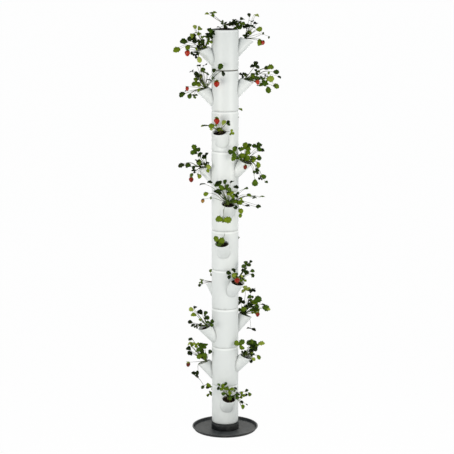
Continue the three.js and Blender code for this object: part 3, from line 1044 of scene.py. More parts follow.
def notchCutters(bottom):
    size = footSizes
    bm = bmesh.new()
    height = size["notchHeight"] + size["overrun"]
    for notch in range(size["notches"]):
        made = bmesh.ops.create_cube(bm, size=1)["verts"]
        bmesh.ops.scale(bm, vec=(collarRadius, size["notchWidth"], height), verts=made)
        middle = bottom + size["notchHeight"] - height / 2
        bmesh.ops.translate(bm, vec=(collarRadius, 0, middle), verts=made)
        turn = Matrix.Rotation(quarterTurn + notch / size["notches"] * fullTurn, 3, "Z")
        bmesh.ops.rotate(bm, matrix=turn, verts=made)
    return newPiece("notches", bm, [])


def finishFoot(name, mesh, lift, node):
    bm = bmesh.new()
    bm.from_mesh(mesh)
    place = Matrix.Translation((0, 0, lift * mm)) @ Matrix.Scale(mm, 4)
    bmesh.ops.transform(bm, matrix=place, verts=bm.verts)
    piece = newPiece(name, bm, [darkPlastic])
    shadeSmooth(piece.data, footSizes["sharpFrom"])
    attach(piece, "base")
    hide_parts(node)


def makeSaucer():
    size = footSizes
    edge = size["saucerRadius"] - size["lip"]
    foot = edge - size["flare"]
    top = size["saucerHeight"]
    dish = newPiece("dish", roundedSpin([
        (0, 0),
        (foot, 0),
        (edge, top - size["wall"]),
        (size["saucerRadius"], top - size["wall"]),
        (size["saucerRadius"], top),
        (edge - size["wall"], top),
        (foot - size["wall"], size["floor"]),
        (0, size["floor"]),
    ], size["saucerSteps"], size["edgeRound"]), [])
    outer = collarInner - size["keyClearance"]
    ring = newPiece("ring", roundedSpin([
        (outer - size["keyWall"], size["floor"] / 2),
        (outer, size["floor"] / 2),
        (outer, size["floor"] + size["keyHeight"]),
        (outer - size["keyWall"], size["floor"] + size["keyHeight"]),
    ], tierSizes["pipeSteps"], size["edgeRound"] / 2), [])
    notches = notchCutters(size["floor"] + size["overrun"])
    ring.data = bakedBoolean(ring, [("DIFFERENCE", notches)])
    ring.modifiers.clear()
    finishFoot("saucer_dish", bakedBoolean(dish, [("UNION", ring)]), 0, "saucer")
    removeTools([dish, ring, notches])


def makeCollar():
    size = footSizes
    bottom, top = (corner.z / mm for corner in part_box("collar"))
    height = top - bottom
    topRadius = tierSizes["radius"] + size["collarTopProud"]
    ledge = size["ledgeTop"]
    body = newPiece("body", roundedSpin([
        (collarInner, 0),
        (collarRadius, 0),
        (collarRadius, height - size["collarStep"]),
        (topRadius, height - size["collarStep"]),
        (topRadius, height),
        (socketRadius, height),
        (socketRadius, ledge),
        (socketRadius - size["ledgeWidth"], ledge),
        (socketRadius - size["ledgeWidth"], ledge - size["ledgeHeight"]),
        (collarInner, ledge - size["ledgeHeight"]),
    ], tierSizes["pipeSteps"], size["edgeRound"]), [])
    notches = notchCutters(0)
    finishFoot("collar_ring", bakedBoolean(body, [("DIFFERENCE", notches)]), bottom, "collar")
    removeTools([body, notches])


makeSaucer()
makeCollar()
print("saucer and collar made")

# The soil that shows: a lumpy bed in each pocket and a mound in the top, both strewn with crumbs
bedSizes = {
    "steps": (36, 18),  # round and up a bed
    "drop": 14,  # from a pocket's mouth down to its soil
    "pocketHalf": (28.4, 30.2, 5.0),
    "moundHalf": (55.2, 55.2, 9.5),
    "moundSink": 7.5,  # of the mound's middle, under the rim
    "lumpScale": 0.085,
    "lumpHeight": 2.2,
    "fineLumpScale": 0.3,
    "fineLumpShare": 0.5,
    "pocketCrumbs": 46,
    "moundCrumbs": 110,
    "crumb": (0.7, 2.3),
    "crumbAcross": ((0.7, 1), (0.6, 0.9)),  # a crumb's width and height in shares of its length
    "crumbLift": 0.25,  # from the bed to a crumb's middle, in shares of its length
    "crumbTilt": 0.7,  # radians, as is the turn
    "crumbTurn": 6,
    "strewnShare": 0.93,
    "huskShare": 0.22,
    "huskShape": (2.4, 0.5, 0.35),
    "sharpFrom": 60,
}
soilMiddle = onPocketAxis(bedSizes["drop"])
patternShift = 99  # how far a noise is moved at most, so that no two pieces share their lumps


def randomVector(chance, low, high):
    return Vector([chance.uniform(low, high) for _ in range(3)])


def stray(chance, most):
    return chance.uniform(-most, most)


def paint(vertices, finish):
    for vertex in vertices:
        for face in vertex.link_faces:
            face.material_index = finish


def addCrumb(bm, half, chance):
    size = bedSizes
    around = chance.uniform(0, fullTurn)
    out = size["strewnShare"] * math.sqrt(chance.random())
    length = chance.uniform(*size["crumb"])
    isHusk = chance.random() < size["huskShare"]
    shape = size["huskShape"]
    if not isHusk:
        shape = (1, *(chance.uniform(*span) for span in size["crumbAcross"]))
    crumb = bmesh.ops.create_icosphere(bm, subdivisions=1, radius=length)["verts"]
    bmesh.ops.scale(bm, vec=shape, verts=crumb)
    tilt = Matrix.Rotation(stray(chance, size["crumbTilt"]), 3, "X")
    turn = Matrix.Rotation(chance.uniform(0, size["crumbTurn"]), 3, "Z")
    bmesh.ops.rotate(bm, matrix=tilt @ turn, verts=crumb)
    height = half[2] * math.sqrt(1 - out * out) + length * size["crumbLift"]
    spot = (out * half[0] * math.cos(around), out * half[1] * math.sin(around), height)
    bmesh.ops.translate(bm, vec=spot, verts=crumb)
    paint(crumb, int(isHusk))
    return crumb


def ballShape(bm, steps, half):
    made = bmesh.ops.create_uvsphere(bm, u_segments=steps[0], v_segments=steps[1], radius=1)["verts"]
    bmesh.ops.scale(bm, vec=half, verts=made)
    return made


def addBed(bm, place, half, crumbs, chance):
    size = bedSizes
    made = ballShape(bm, size["steps"], half)
    shift = randomVector(chance, 0, patternShift)
    for vertex in made:
        lump = noise.noise(vertex.co * size["lumpScale"] + shift)
        lump += size["fineLumpShare"] * noise.noise(vertex.co * size["fineLumpScale"] + shift)
        inwards = 1 - (vertex.co.x / half[0]) ** 2 - (vertex.co.y / half[1]) ** 2
        if vertex.co.z > 0:
            vertex.co.z += lump * size["lumpHeight"] * max(0, inwards)
    for _ in range(crumbs):
        made += addCrumb(bm, half, chance)
    bmesh.ops.transform(bm, matrix=place, verts=made)


tiltToMouth = Matrix.Rotation(mouthAngle, 4, "Y")
for tier in tierNames:
    chance = random.Random(tier)
    bm = bmesh.new()
    for pocket in facings:
        place = tierPlace(tier, facings[pocket], tipHeights[pocket])
        place = place @ Matrix.Translation(soilMiddle) @ tiltToMouth
        addBed(bm, place, bedSizes["pocketHalf"], bedSizes["pocketCrumbs"], chance)
    if tier == tierNames[-1]:
        middle = Matrix.Translation((0, 0, seamHeight(tier) / mm + shellHeight - bedSizes["moundSink"]))
        addBed(bm, Matrix.Scale(mm, 4) @ middle, bedSizes["moundHalf"], bedSizes["moundCrumbs"], chance)
    bed = newPiece(tier + "_topsoil", bm, [pottingSoil, strawHusk])
    shadeSmooth(bed.data, bedSizes["sharpFrom"])
    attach(bed, tier)
print("soil beds laid")

# Strawberry leaflets, each laid out along +X with its upper side up, one unit long
leafletSizes = {
    "grown": (10, 2),  # steps along and across
    "young": (5, 2),
    "width": 0.78,
    "slimBase": 0.62,  # the half nearer the stalk is this much slimmer than an oval
    "pointed": 0.45,  # how much slimmer its tip is
    "stem": 0.02,
    "fold": 0.46,
    "foldSpread": (0.3, 1.3),
    "arch": 0.30,
    "archSpread": (0.4, 1.4),
    "archTop": 0.25,  # the highest place of the arch, from the stalk
    "twist": 0.2,
    "teeth": 0.07,
    "notches": -0.6,  # how far the edge goes in between two teeth, in shares of a tooth
    "toothLean": 0.4,
    "ripple": 0.035,
    "ripples": 11,
    "rippleShift": 6,
    "thickness": 0.016,
    "kinds": 6,
}


# The steps along a leaflet are closer together at its base and tip, where its edge is round
def leafletRun(step):
    return (1 - math.cos(math.pi * step)) / 2


def leafletMesh(age, seed):
    size = leafletSizes
    along, across = size[age]
    chance = random.Random(f"{age} {seed}")
    fold = size["fold"] * chance.uniform(*size["foldSpread"])
    arch = size["arch"] * chance.uniform(*size["archSpread"])
    twist = stray(chance, size["twist"])
    phase = chance.uniform(0, size["rippleShift"])
    bm = bmesh.new()
    leafMap = bm.loops.layers.uv.new("leafMap")
    bmesh.ops.create_grid(bm, x_segments=along, y_segments=across, size=0.5)
    for face in bm.faces:
        for loop in face.loops:
            loop[leafMap].uv = (leafletRun(loop.vert.co.x + 0.5), loop.vert.co.y + 0.5)
    for vertex in bm.verts:
        step = vertex.co.x + 0.5
        run = leafletRun(step)
        side = vertex.co.y * 2
        oval = math.sin(math.pi * step)
        isTooth = round(step * along) % 2 == 1
        tooth = size["teeth"] * (1 if isTooth else size["notches"]) * oval
        slimness = size["slimBase"] + (1 - size["slimBase"]) * 2 * run - size["pointed"] * run ** 4
        half = size["stem"] * (1 - step) + 0.5 * size["width"] * oval * slimness
        aside = side * (half + tooth)
        lift = fold * abs(aside) - arch * (run - size["archTop"]) ** 2 + twist * aside
        lift += size["ripple"] * math.sin(run * size["ripples"] + phase) * abs(side)
        vertex.co = (run + size["toothLean"] * tooth * abs(side), aside, lift)
    bmesh.ops.solidify(bm, geom=bm.faces[:], thickness=size["thickness"])
    bmesh.ops.recalc_face_normals(bm, faces=bm.faces)
    return markUnderside(bm, "leaflet")


def markUnderside(bm, name):
    bm.normal_update()
    underside = bm.verts.layers.float.new("underside")
    for vertex in bm.verts:
        vertex[underside] = float(vertex.normal.z < 0)
    for face in bm.faces:
        face.smooth = True
    mesh = bpy.data.meshes.new(name)
    bm.to_mesh(mesh)
    bm.free()
    return mesh


# A berry that hangs from the origin, one unit long, with its seeds and green cap
berrySizes = {
    "round": 22,
    "rings": 16,
    "halfWidth": 0.47,
    "shoulders": 1.08,
    "taper": 0.40,
    "lumps": 0.12,
    "lumpScale": 2.2,
    "seeds": 64,
    "seedsFrom": 0.10,
    "seedsRun": 0.86,
    "seed": (0.020, 0.012, 0.034),
    "sepals": 8,
    "sepalSteps": (4, 2),
    "sepalLength": 0.36,
    "sepalSpread": (0.8, 1.15),
    "sepalCurl": (-0.5, 0.25),
    "sepalTurn": 0.2,
    "sepalHalf": 0.085,
    "sepalEdge": 0.02,
    "sepalStart": 0.03,
    "sepalLift": 0.02,
    "sepalArc": (0.18, 0.74),  # the stretch of a sine that gives a sepal its outline
    "sepalThickness": 0.018,
    "kinds": 3,
}
goldenAngle = math.pi * (3 - math.sqrt(5))


def roundness(run):
    return math.sqrt(max(0, run * (1 - run)))


# The berry's half width this far down, with the lump that it has at a spot
def berryHalfWidth(run, spot, shift):
    size = berrySizes
    plain = size["halfWidth"] * roundness(run) * 2 * (size["shoulders"] - size["taper"] * run)
    return plain * (1 + size["lumps"] * noise.noise(spot * size["lumpScale"] + shift))


def berryMesh(seed):
    size = berrySizes
    chance = random.Random(seed)
    bm = bmesh.new()
    bm.loops.layers.uv.new("leafMap")
    bmesh.ops.create_uvsphere(bm, u_segments=size["round"], v_segments=size["rings"], radius=0.5)
    shift = randomVector(chance, 0, patternShift)
    for vertex in bm.verts:
        run = 0.5 - vertex.co.z
        wide = berryHalfWidth(run, vertex.co, shift)
        if vertex.co.xy.length > tiny:
            vertex.co.xy = vertex.co.xy.normalized() * wide
        vertex.co.z = -run
    paint(bm.verts, berryIndex)
    for number in range(size["seeds"]):
        run = size["seedsFrom"] + size["seedsRun"] * (number + 0.5) / size["seeds"]
        around = number * goldenAngle
        outwards = Vector((math.cos(around), math.sin(around), 0))
        spot = outwards * roundness(run) + up * (0.5 - run)
        made = bmesh.ops.create_icosphere(bm, subdivisions=1, radius=1)["verts"]
        bmesh.ops.scale(bm, vec=size["seed"], verts=made)
        bmesh.ops.rotate(bm, matrix=Matrix.Rotation(around + quarterTurn, 3, "Z"), verts=made)
        place = outwards * berryHalfWidth(run, spot, shift) - up * run
        bmesh.ops.translate(bm, vec=place, verts=made)
        paint(made, seedIndex)
    for sepal in range(size["sepals"]):
        addSepal(bm, sepal, chance)
    bmesh.ops.recalc_face_normals(bm, faces=bm.faces)
    return markUnderside(bm, "berry")


def addSepal(bm, sepal, chance):
    size = berrySizes
    along, across = size["sepalSteps"]
    options = {"x_segments": along, "y_segments": across, "size": 0.5, "calc_uvs": True}
    grid = bmesh.ops.create_grid(bm, **options)["verts"]
    length = size["sepalLength"] * chance.uniform(*size["sepalSpread"])
    curl = chance.uniform(*size["sepalCurl"])
    arcStart, arcRun = size["sepalArc"]
    for vertex in grid:
        run = vertex.co.x + 0.5
        half = size["sepalEdge"] + size["sepalHalf"] * math.sin(math.pi * (arcStart + arcRun * run))
        aside = vertex.co.y * 2 * half
        lift = size["sepalLift"] + abs(aside) / 2 + curl * run * run / 2
        vertex.co = (size["sepalStart"] + run * length, aside, lift)
    faces = list({face for vertex in grid for face in vertex.link_faces})
    solid = bmesh.ops.solidify(bm, geom=faces, thickness=size["sepalThickness"])["geom"]
    added = [item for item in solid if isinstance(item, bmesh.types.BMFace)]
    made = list({vertex for face in added for vertex in face.verts} | set(grid))
    share = (sepal + stray(chance, size["sepalTurn"])) / size["sepals"]
    turn = Matrix.Rotation(share * fullTurn, 3, "Z")
    bmesh.ops.rotate(bm, matrix=turn, verts=made)
    paint(made, leafIndex)


leafletMeshes = {
    age: [leafletMesh(age, kind) for kind in range(leafletSizes["kinds"])]
    for age in ("grown", "young")
}
berryMeshes = [berryMesh(kind) for kind in range(berrySizes["kinds"])]
print("leaflets and berries shaped")

# The plants, by tier and pocket. A row starts with a place: outwards from the column's axis, sideways,
# and up from the pocket's tip or, for the crown, from the rim, in hundredths of the pocket's reach.
# A leaf's row goes on with the length of its leaflets, their heading in the picture (0 right, 90 up),
# how far the leaf leans towards the viewer (0 flat, 90 upright, less than 0 away), the number of
# leaflets (0 is a bare stem) and the tone in hundredths, from 0 nearly black to 100 pale olive,
# which mixes the leaf's own colour with painted shade, the darkest tones standing for leaves in shadow.
# A berry's row goes on with its length and its tone, from 0 for a green bud to 100 for a deep red.
# "young" is how many young leaves there are for every grown one, where that isn't the usual share.
plants = {
    ("tier_01", "high"): {"young": 0.35, "leaves": [
        (66, -34, 60, 20, 120, 60, 1, 45),
        (66, -36, 47, 17, 250, 70, 1, 15),
        (70, -10, 62, 20, 60, 60, 1, 40),
        (74, -18, 46, 24, 100, 70, 3, 50),
        (80, 0, 40, 26, 20, 60, 3, 60),
        (80, -20, 30, 22, 200, 70, 1, 55),
        (70, 25, 44, 18, -30, 55, 1, 15),
        (82, 28, 24, 20, 0, 30, 1, 50),
        (86, 30, 14, 20, -10, 35, 1, 50),
        (50, 70, 27, 18, 30, 45, 1, 20),
        (52, 80, 14, 20, -60, 75, 1, 45),
        (95, 42, 0, 18, -30, 35, 1, 15),
        (98, 46, -17, 24, 90, 85, 1, 55),
        (90, 62, -12, 12, -40, 30, 1, 20),
    ]},
    ("tier_01", "low"): {"leaves": [
        (105, 25, 30, 30, 70, -50, 3, 45),
        (95, -30, 25, 30, 120, -50, 3, 50),
        (85, 10, 45, 28, 90, -40, 3, 35),
        (85, 42, 12, 26, 20, -50, 3, 55),
        (115, -10, 5, 26, 250, -40, 3, 30),
    ]},
    ("tier_02", "high"): {"leaves": [
        (62, -43, 60, 32, 55, 78, 3, 58),
        (95, 0, 50, 34, 40, 60, 3, 20),
        (95, 5, 62, 28, 120, 50, 1, 45),
        (130, 10, 55, 36, 20, 65, 1, 95),
        (112, 5, 50, 26, 160, 50, 1, 60),
        (95, 0, 32, 18, -20, 60, 1, 15),
        (95, 0, 17, 18, -60, 60, 1, 20),
        (105, 0, 40, 34, -35, 35, 1, 12),
        (122, 0, 7, 24, -70, 55, 1, 55),
        (97, -10, -5, 22, -80, 65, 1, 20),
        (106, -10, 2, 20, -30, 60, 1, 85),
    ]},
    ("tier_02", "low"): {"leaves": [
        (128, 0, 90, 26, 150, 12, 1, 15),
        (128, 0, 73, 28, 170, 12, 1, 90),
        (120, 5, 70, 22, 60, 40, 1, 60),
        (135, 0, 53, 30, 135, 35, 1, 30),
        (128, 10, 42, 26, -45, 35, 1, 12),
        (85, 10, 62, 30, 100, 60, 3, 40),
        (65, 20, 75, 24, 60, 50, 1, 35),
        (80, 10, 39, 34, 200, 70, 3, 50),
        (70, 30, 42, 28, -40, 65, 1, 45),
        (45, 45, 60, 24, 70, 55, 1, 15),
    ], "runner": [
        (95, 30, -25, 22, 250, 60, 1, 30),
        (110, 10, -40, 26, 225, 30, 2, 12),
        (64, 78, -62, 20, 240, 30, 1, 40),
        (44, 88, -58, 22, 200, 60, 1, 12),
        (42, 88, -52, 26, -60, 65, 1, 60),
    ], "berries": [(133, 10, -3, 24, 95)]},
    ("tier_03", "high"): {"young": 1.6, "leaves": [
        (100, 57, 86, 28, 100, 50, 3, 85),
        (113, 31, 87, 24, 60, 15, 3, 10),
        (99, 12, 69, 26, 30, 50, 1, 40),
        (120, -11, 63, 40, 40, 60, 1, 50),
        (112, -8, 55, 34, -20, 60, 1, 45),
        (66, 16, 53, 26, 110, 65, 3, 5),
        (61, -30, 38, 26, 200, 65, 1, 55),
        (106, -39, 46, 28, -10, 60, 1, 45),
        (135, -33, 48, 26, 0, 12, 1, 15),
        (140, -40, 38, 36, -20, 50, 1, 45),
        (149, -46, 33, 18, -10, 60, 1, 85),
        (100, 0, -45, 26, 90, 10, 2, 12),
    ], "berries": [(107, -47, 18, 23, 80)]},
    ("tier_03", "low"): {"leaves": [
        (118, -27, 70, 26, 160, 50, 1, 90),
        (105, -20, 77, 22, 60, 40, 1, 20),
        (110, -25, 48, 28, 170, 60, 1, 75),
        (89, -16, 60, 32, 130, 35, 1, 12),
        (72, -2, 58, 24, 60, 55, 1, 30),
        (73, 14, 45, 26, 20, 65, 1, 40),
        (73, 46, 31, 24, 50, 75, 3, 35),
        (124, -21, 24, 22, 180, 60, 1, 10),
        (118, -11, 15, 24, 185, 50, 1, 5),
    ]},
    ("tier_04", "high"): {"young": 0.35, "leaves": [
        (80, 35, 66, 26, 100, 55, 3, 35),
        (89, 48, 79, 18, 60, 40, 1, 15),
        (80, 35, 41, 26, -20, 60, 1, 25),
        (93, 53, 46, 24, 20, 60, 1, 45),
        (93, 53, 29, 22, -40, 70, 1, 30),
        (79, -19, 54, 24, 120, 60, 1, 15),
        (69, -33, 45, 26, 170, 60, 1, 30),
        (79, -15, 36, 24, 220, 60, 1, 65),
        (70, -30, 29, 22, 240, 60, 1, 10),
        (86, 10, 30, 18, -60, 60, 1, 95),
    ], "berries": [(93, -13, 20, 27, 70)]},
    ("tier_04", "low"): {"leaves": [
        (90, 49, 3, 18, 200, 60, 1, 25),
        (85, 43, 23, 24, 120, 10, 1, 60),
        (66, 15, 55, 24, 80, 15, 1, 60),
        (90, -15, 50, 28, 60, -40, 3, 45),
        (110, -40, 25, 28, 0, -40, 3, 40),
    ]},
    ("tier_05", "high"): {"leaves": [
        (87, -14, 17, 34, 14, 80, 3, 50),
        (75, 10, 45, 26, 90, 30, 0, 40),
    ]},
    ("tier_05", "low"): {"leaves": [
        (100, 20, 30, 30, 80, -50, 3, 45),
        (90, -25, 35, 28, 150, -45, 3, 30),
        (110, -5, 10, 26, 270, -50, 3, 55),
        (80, 5, 55, 26, 100, -30, 1, 40),
    ]},
    ("tier_06", "high"): {"young": 0.35, "leaves": [
        (90, -10, 64, 28, 90, 60, 3, 50),
        (85, -30, 56, 24, 150, 50, 3, 20),
        (95, 5, 42, 22, 70, 60, 3, 70),
        (96, -15, 90, 26, 90, 70, 1, 30),
        (82, -40, 84, 24, 150, 55, 1, 15),
        (85, -35, 75, 28, 60, 65, 3, 40),
        (67, -64, 85, 26, 160, 20, 1, 10),
        (40, -85, 74, 28, 200, 10, 1, 20),
        (94, 10, 88, 24, 45, 15, 1, 15),
        (88, 25, 70, 26, 0, 45, 1, 15),
        (71, 63, 60, 24, 20, 40, 1, 40),
        (78, -41, 55, 30, 110, 30, 1, 15),
        (49, -75, 42, 24, 190, 50, 1, 75),
        (65, 75, 36, 26, 20, 15, 1, 60),
        (61, 93, 27, 26, -15, 12, 1, 30),
        (58, 122, 28, 24, 10, 12, 1, 60),
        (83, 38, 13, 28, -20, 65, 1, 45),
        (92, 20, 0, 26, -60, 45, 1, 15),
        (80, 66, 0, 26, 0, 12, 1, 20),
        (63, 107, -6, 26, -20, 12, 1, 35),
        (90, 40, -15, 28, -75, 45, 1, 80),
        (90, 40, -31, 22, -85, 45, 1, 70),
        (108, -23, -42, 42, 265, 75, 2, 62),
    ], "berries": [(40, -84, 14, 19, 20)]},
    ("tier_06", "low"): {"leaves": [
        (100, -20, 30, 30, 110, -50, 3, 40),
        (90, 25, 35, 28, 40, -45, 3, 55),
        (112, 5, 8, 26, 270, -50, 3, 30),
        (82, -5, 52, 28, 90, -35, 3, 45),
    ], "berries": [(108, -22, 0, 24, 75)]},
    ("tier_07", "high"): {"leaves": [
        (53, -45, 60, 26, 100, 65, 1, 15),
        (51, -50, 48, 30, 180, 80, 3, 40),
        (51, -50, 28, 28, 260, 75, 1, 55),
        (70, 10, 53, 30, 90, 60, 3, 50),
        (82, 22, 62, 28, 45, 55, 1, 30),
        (105, 38, 55, 30, 60, 55, 3, 40),
        (122, 44, 45, 24, 0, 50, 1, 15),
        (76, -5, 35, 34, -60, 70, 3, 60),
        (98, 20, 18, 28, -45, 60, 1, 70),
        (114, 34, 17, 26, 0, 70, 1, 20),
        (115, 26, -3, 28, -70, 75, 1, 65),
        (116, 10, -21, 18, -80, 60, 1, 15),
        (132, 32, -45, 26, -40, 75, 1, 40),
        (138, 42, -67, 18, -60, 30, 1, 30),
        (120, -29, -60, 37, -100, 85, 1, 50),
    ], "berries": [(90, -38, -5, 21, 90)]},
    ("tier_07", "low"): {"leaves": [
        (108, 7, 70, 30, 120, 70, 3, 40),
        (90, 9, 55, 28, 40, 75, 1, 15),
        (60, 20, 60, 22, 60, 55, 1, 15),
        (70, 25, 50, 26, -60, 15, 1, 30),
        (94, 10, 30, 30, 265, 55, 1, 50),
        (158, 17, 16, 32, 190, 60, 1, 5),
        (136, 9, 16, 28, 150, 60, 1, 40),
        (112, 17, 10, 22, -100, 60, 1, 15),
        (41, 55, 23, 26, -60, 50, 1, 80),
        (45, 50, 8, 20, -90, 75, 1, 75),
        (119, 19, -15, 20, 240, 60, 1, 40),
        (80, 42, -15, 24, -110, 40, 1, 80),
        (84, 42, -12, 22, -70, 40, 1, 70),
    ], "berries": [(120, 20, -33, 25, 80)]},
    ("tier_08", "low"): {"leaves": [
        (81, -27, 29, 28, 200, 60, 1, 65),
        (74, 15, 41, 26, 60, 65, 1, 95),
        (67, 28, 44, 20, 40, 55, 1, 20),
        (72, 30, 36, 20, -20, 60, 1, 25),
        (83, 43, 10, 17, -30, 80, 3, 70),
        (61, -57, 27, 24, 175, 20, 1, 15),
        (55, -66, 25, 18, 185, 20, 1, 85),
    ], "berries": [(80, -9, 46, 30, 60)]},
    ("tier_08", "high"): {"leaves": [
        (100, 15, 35, 30, 70, -50, 3, 40),
        (86, -25, 40, 28, 130, -45, 3, 55),
        (112, -5, 10, 26, 270, -50, 3, 30),
        (85, 10, 58, 26, 90, -35, 3, 50),
    ], "berries": [(105, 25, 2, 25, 65)]},
    ("tier_09", "high"): {"young": 1.6, "leaves": [
        (104, 0, 57, 26, 70, 55, 3, 10),
        (158, 0, 53, 30, 20, 65, 1, 60),
        (145, 5, 50, 24, 160, 50, 1, 40),
        (178, 0, 36, 28, -10, 60, 1, 40),
        (188, 0, 19, 20, -40, 30, 1, 15),
        (70, 0, 27, 22, 100, 60, 1, 60),
        (97, 0, 26, 26, 60, 65, 1, 65),
        (157, -10, 14, 38, -10, 80, 1, 85),
        (135, -10, 0, 30, -60, 65, 1, 30),
        (178, 0, -12, 28, -40, 65, 1, 70),
        (150, 0, -26, 32, -90, 70, 1, 50),
    ], "berries": [(110, -20, 3, 23, 40)]},
    ("tier_09", "low"): {"leaves": [
        (91, 0, 90, 26, 120, 12, 1, 15),
        (70, 5, 92, 26, 60, 12, 1, 15),
        (77, 0, 75, 28, 45, 65, 1, 45),
        (100, 0, 63, 26, 170, 45, 1, 10),
        (115, 0, 70, 24, 190, 12, 1, 10),
        (41, 52, 79, 24, 80, 60, 1, 15),
        (20, 64, 92, 30, 60, 85, 1, 30),
        (10, 64, 69, 26, -70, 60, 1, 10),
        (86, 0, 54, 24, 0, 60, 1, 80),
        (98, 0, 33, 28, 210, 65, 3, 60),
        (58, 36, 43, 24, -20, 20, 1, 15),
        (93, 40, 10, 16, -90, 70, 1, 75),
        (150, 0, -10, 34, 200, 60, 1, 35),
        (122, 0, -15, 26, 250, 60, 1, 40),
    ], "berries": [(32, 71, 33, 30, 60), (132, 10, 11, 20, 55)]},
    ("tier_10", "high"): {"leaves": [
        (103, 0, 48, 16, 0, 20, 1, 15),
        (120, 0, 42, 28, 10, 65, 1, 75),
        (87, 0, 32, 26, 120, 60, 1, 70),
        (85, 0, 92, 20, 90, 75, 1, 10),
        (110, 0, 90, 26, 20, 12, 1, 90),
        (95, 10, 70, 28, 100, 15, 1, 15),
        (110, 10, 62, 26, 45, 15, 1, 15),
        (122, 0, -2, 32, -90, 65, 1, 55),
    ], "berries": [(135, 0, -5, 20, 55), (135, 0, 27, 11, 0), (155, 0, 13, 11, 0)]},
    ("tier_10", "low"): {"young": 1.5, "leaves": [
        (105, 0, 84, 24, 110, 60, 1, 95),
        (90, 5, 78, 28, 70, 30, 1, 70),
        (53, 25, 62, 28, 120, 65, 3, 10),
        (60, 25, 55, 26, 40, 60, 3, 20),
        (56, 30, 70, 24, 80, 55, 1, 40),
        (145, 0, 33, 38, 170, 60, 1, 35),
        (116, 0, 54, 26, 90, 70, 1, 75),
        (110, 0, 45, 30, 200, 60, 3, 10),
        (80, 10, 35, 28, -100, 45, 1, 15),
        (168, 0, 6, 34, 215, 50, 1, 70),
        (130, 5, 15, 28, 250, 50, 1, 75),
        (105, 20, 10, 18, -60, 60, 1, 70),
        (118, 10, -5, 16, -80, 60, 1, 15),
        (96, 40, -25, 28, -80, 60, 1, 95),
    ], "berries": [(133, 10, -6, 28, 50)]},
    ("tier_10", "crown"): {"young": 0.35, "leaves": [
        (-63, 0, 52, 20, 170, 40, 1, 85),
        (-45, 0, 52, 22, 20, 40, 3, 50),
        (28, -10, 19, 22, 0, 15, 1, 10),
        (42, 10, 6, 26, -20, 60, 3, 50),
        (60, 0, 34, 26, 45, 15, 1, 10),
        (5, 10, 20, 18, 90, 40, 1, 20),
        (-12, -10, 18, 16, 120, 40, 1, 20),
        (-20, -10, 6, 14, 190, 25, 3, 5),
        (-2, -15, 7, 14, 30, 20, 3, 5),
        (40, 0, 22, 26, 160, 30, 3, 15),
        (55, 0, 16, 24, 20, 50, 3, 50),
        (72, 0, 10, 22, -20, 40, 3, 12),
    ], "berries": [(-8, 0, 26, 11, 0)]},
}

leafletTurns = {0: [], 1: [0], 2: [-1, 1], 3: [-1, 0, 1]}
plantSizes = {
    "rootSteps": (12, 10),
    "rootHeight": 15,
    "rootRadius": 6.5,
    "rootInset": 6,
    "rootBelow": 4,  # how far the root goes on into the soil
    "rootCap": 2,
    "rootLumps": 0.35,
    "rootLumpScale": 0.25,
    "rootTone": 0.4,
    "stalkRadius": 0.80,
    "stalkLift": 5,
    "stalkStart": 1.9,  # how thick a stalk starts, and how much of that it loses
    "stalkThinning": 1.1,
    "stalkSpread": (0.8, 1.15),
    "stalkTone": 0.5,
    "stalkSteps": 5,
    "berryStalk": 0.8,
    "routeSteps": 40,
    "rimSlack": 1.08,  # how much wider than the mouth the outline is that the stalks cross
    "overShare": 0.5,  # where a stalk that stays inside it has its middle point
    "bendBefore": 0.45,  # a stalk that crosses the rim this early bends once more
    "bendDrop": 20,  # unless it hangs down further than this
    "bendRise": 0.10,
    "runnerArch": 7,  # how high a runner rises between its leaves
    "spread": 98,  # between a leaf's middle and side leaflets
    "spreadStray": 6,
    "sideLeaflet": 0.88,
    "leafletTilt": 0.5,  # radians
    "leafletSpread": (0.93, 1.07),
    "leanStray": 9,
    "rollStray": 0.25,
    "headingStray": 8,
    "toneStray": 0.12,
    "berryHang": 0.25,  # radians
    "openSky": 1000,  # nothing turns above the uppermost tier
    "rearShare": 0.65,  # leaves for every grown one that stand behind it and face sideways
    "rearDepth": (18, 52),
    "rearClear": 26,
    "rearLength": 0.85,
    "rearTurns": (-75, 75),
    "youngShare": 0.70,  # young leaves for every grown one
    "youngReach": (0.35, 0.85),  # how far out along a grown leaf's stalk they stand
    "youngStray": 15,
    "youngLift": 6,
    "youngLength": (12, 21),
    "youngHeading": (0, 360),
    "youngLean": (0, 85),
    "youngLeaflets": (1, 3, 3),
    "shadowed": 0.6,  # how many of them are dark
    "shadowTones": (0, 0.25),
    "litTones": (0.4, 0.75),
}


# Where a plant stands: its frame, the place of its crown and the rim that its stalks have to clear
def plantSite(tier, pocket):
    size = plantSizes
    isTop = tier == tierNames[-1]
    top = seamHeight(tier) / mm + (size["openSky"] if isTop else shellHeight)
    if pocket == "crown":
        place = tierPlace(tier, facings["high"], shellHeight)
        crown = up * (size["rootHeight"] + size["rootBelow"])
        return {"frame": place, "crown": crown, "up": up, "rim": None, "top": top}
    place = tierPlace(tier, facings[pocket], tipHeights[pocket])
    crown = soilMiddle - mouthDown * size["rootInset"] + mouthNormal * size["rootHeight"]
    return {"frame": place, "crown": crown, "up": mouthNormal, "rim": onPocketAxis(0), "top": top}


def onPlant(site, place):
    return site["frame"] @ (Vector(place) * pocketReach)


# How far along its way a stalk leaves the outline of the pocket's mouth
def rimShare(start, end, rim):
    size = plantSizes
    halfOut = (pocketReach - rim.x) * size["rimSlack"]
    halfSide = tierSizes["pocketWidth"] / 2 * size["rimSlack"]
    for step in range(1, size["routeSteps"]):
        share = step / size["routeSteps"]
        point = start.lerp(end, share)
        if ((point.x - rim.x) / halfOut) ** 2 + (point.y / halfSide) ** 2 > 1:
            return share
    return size["overShare"]


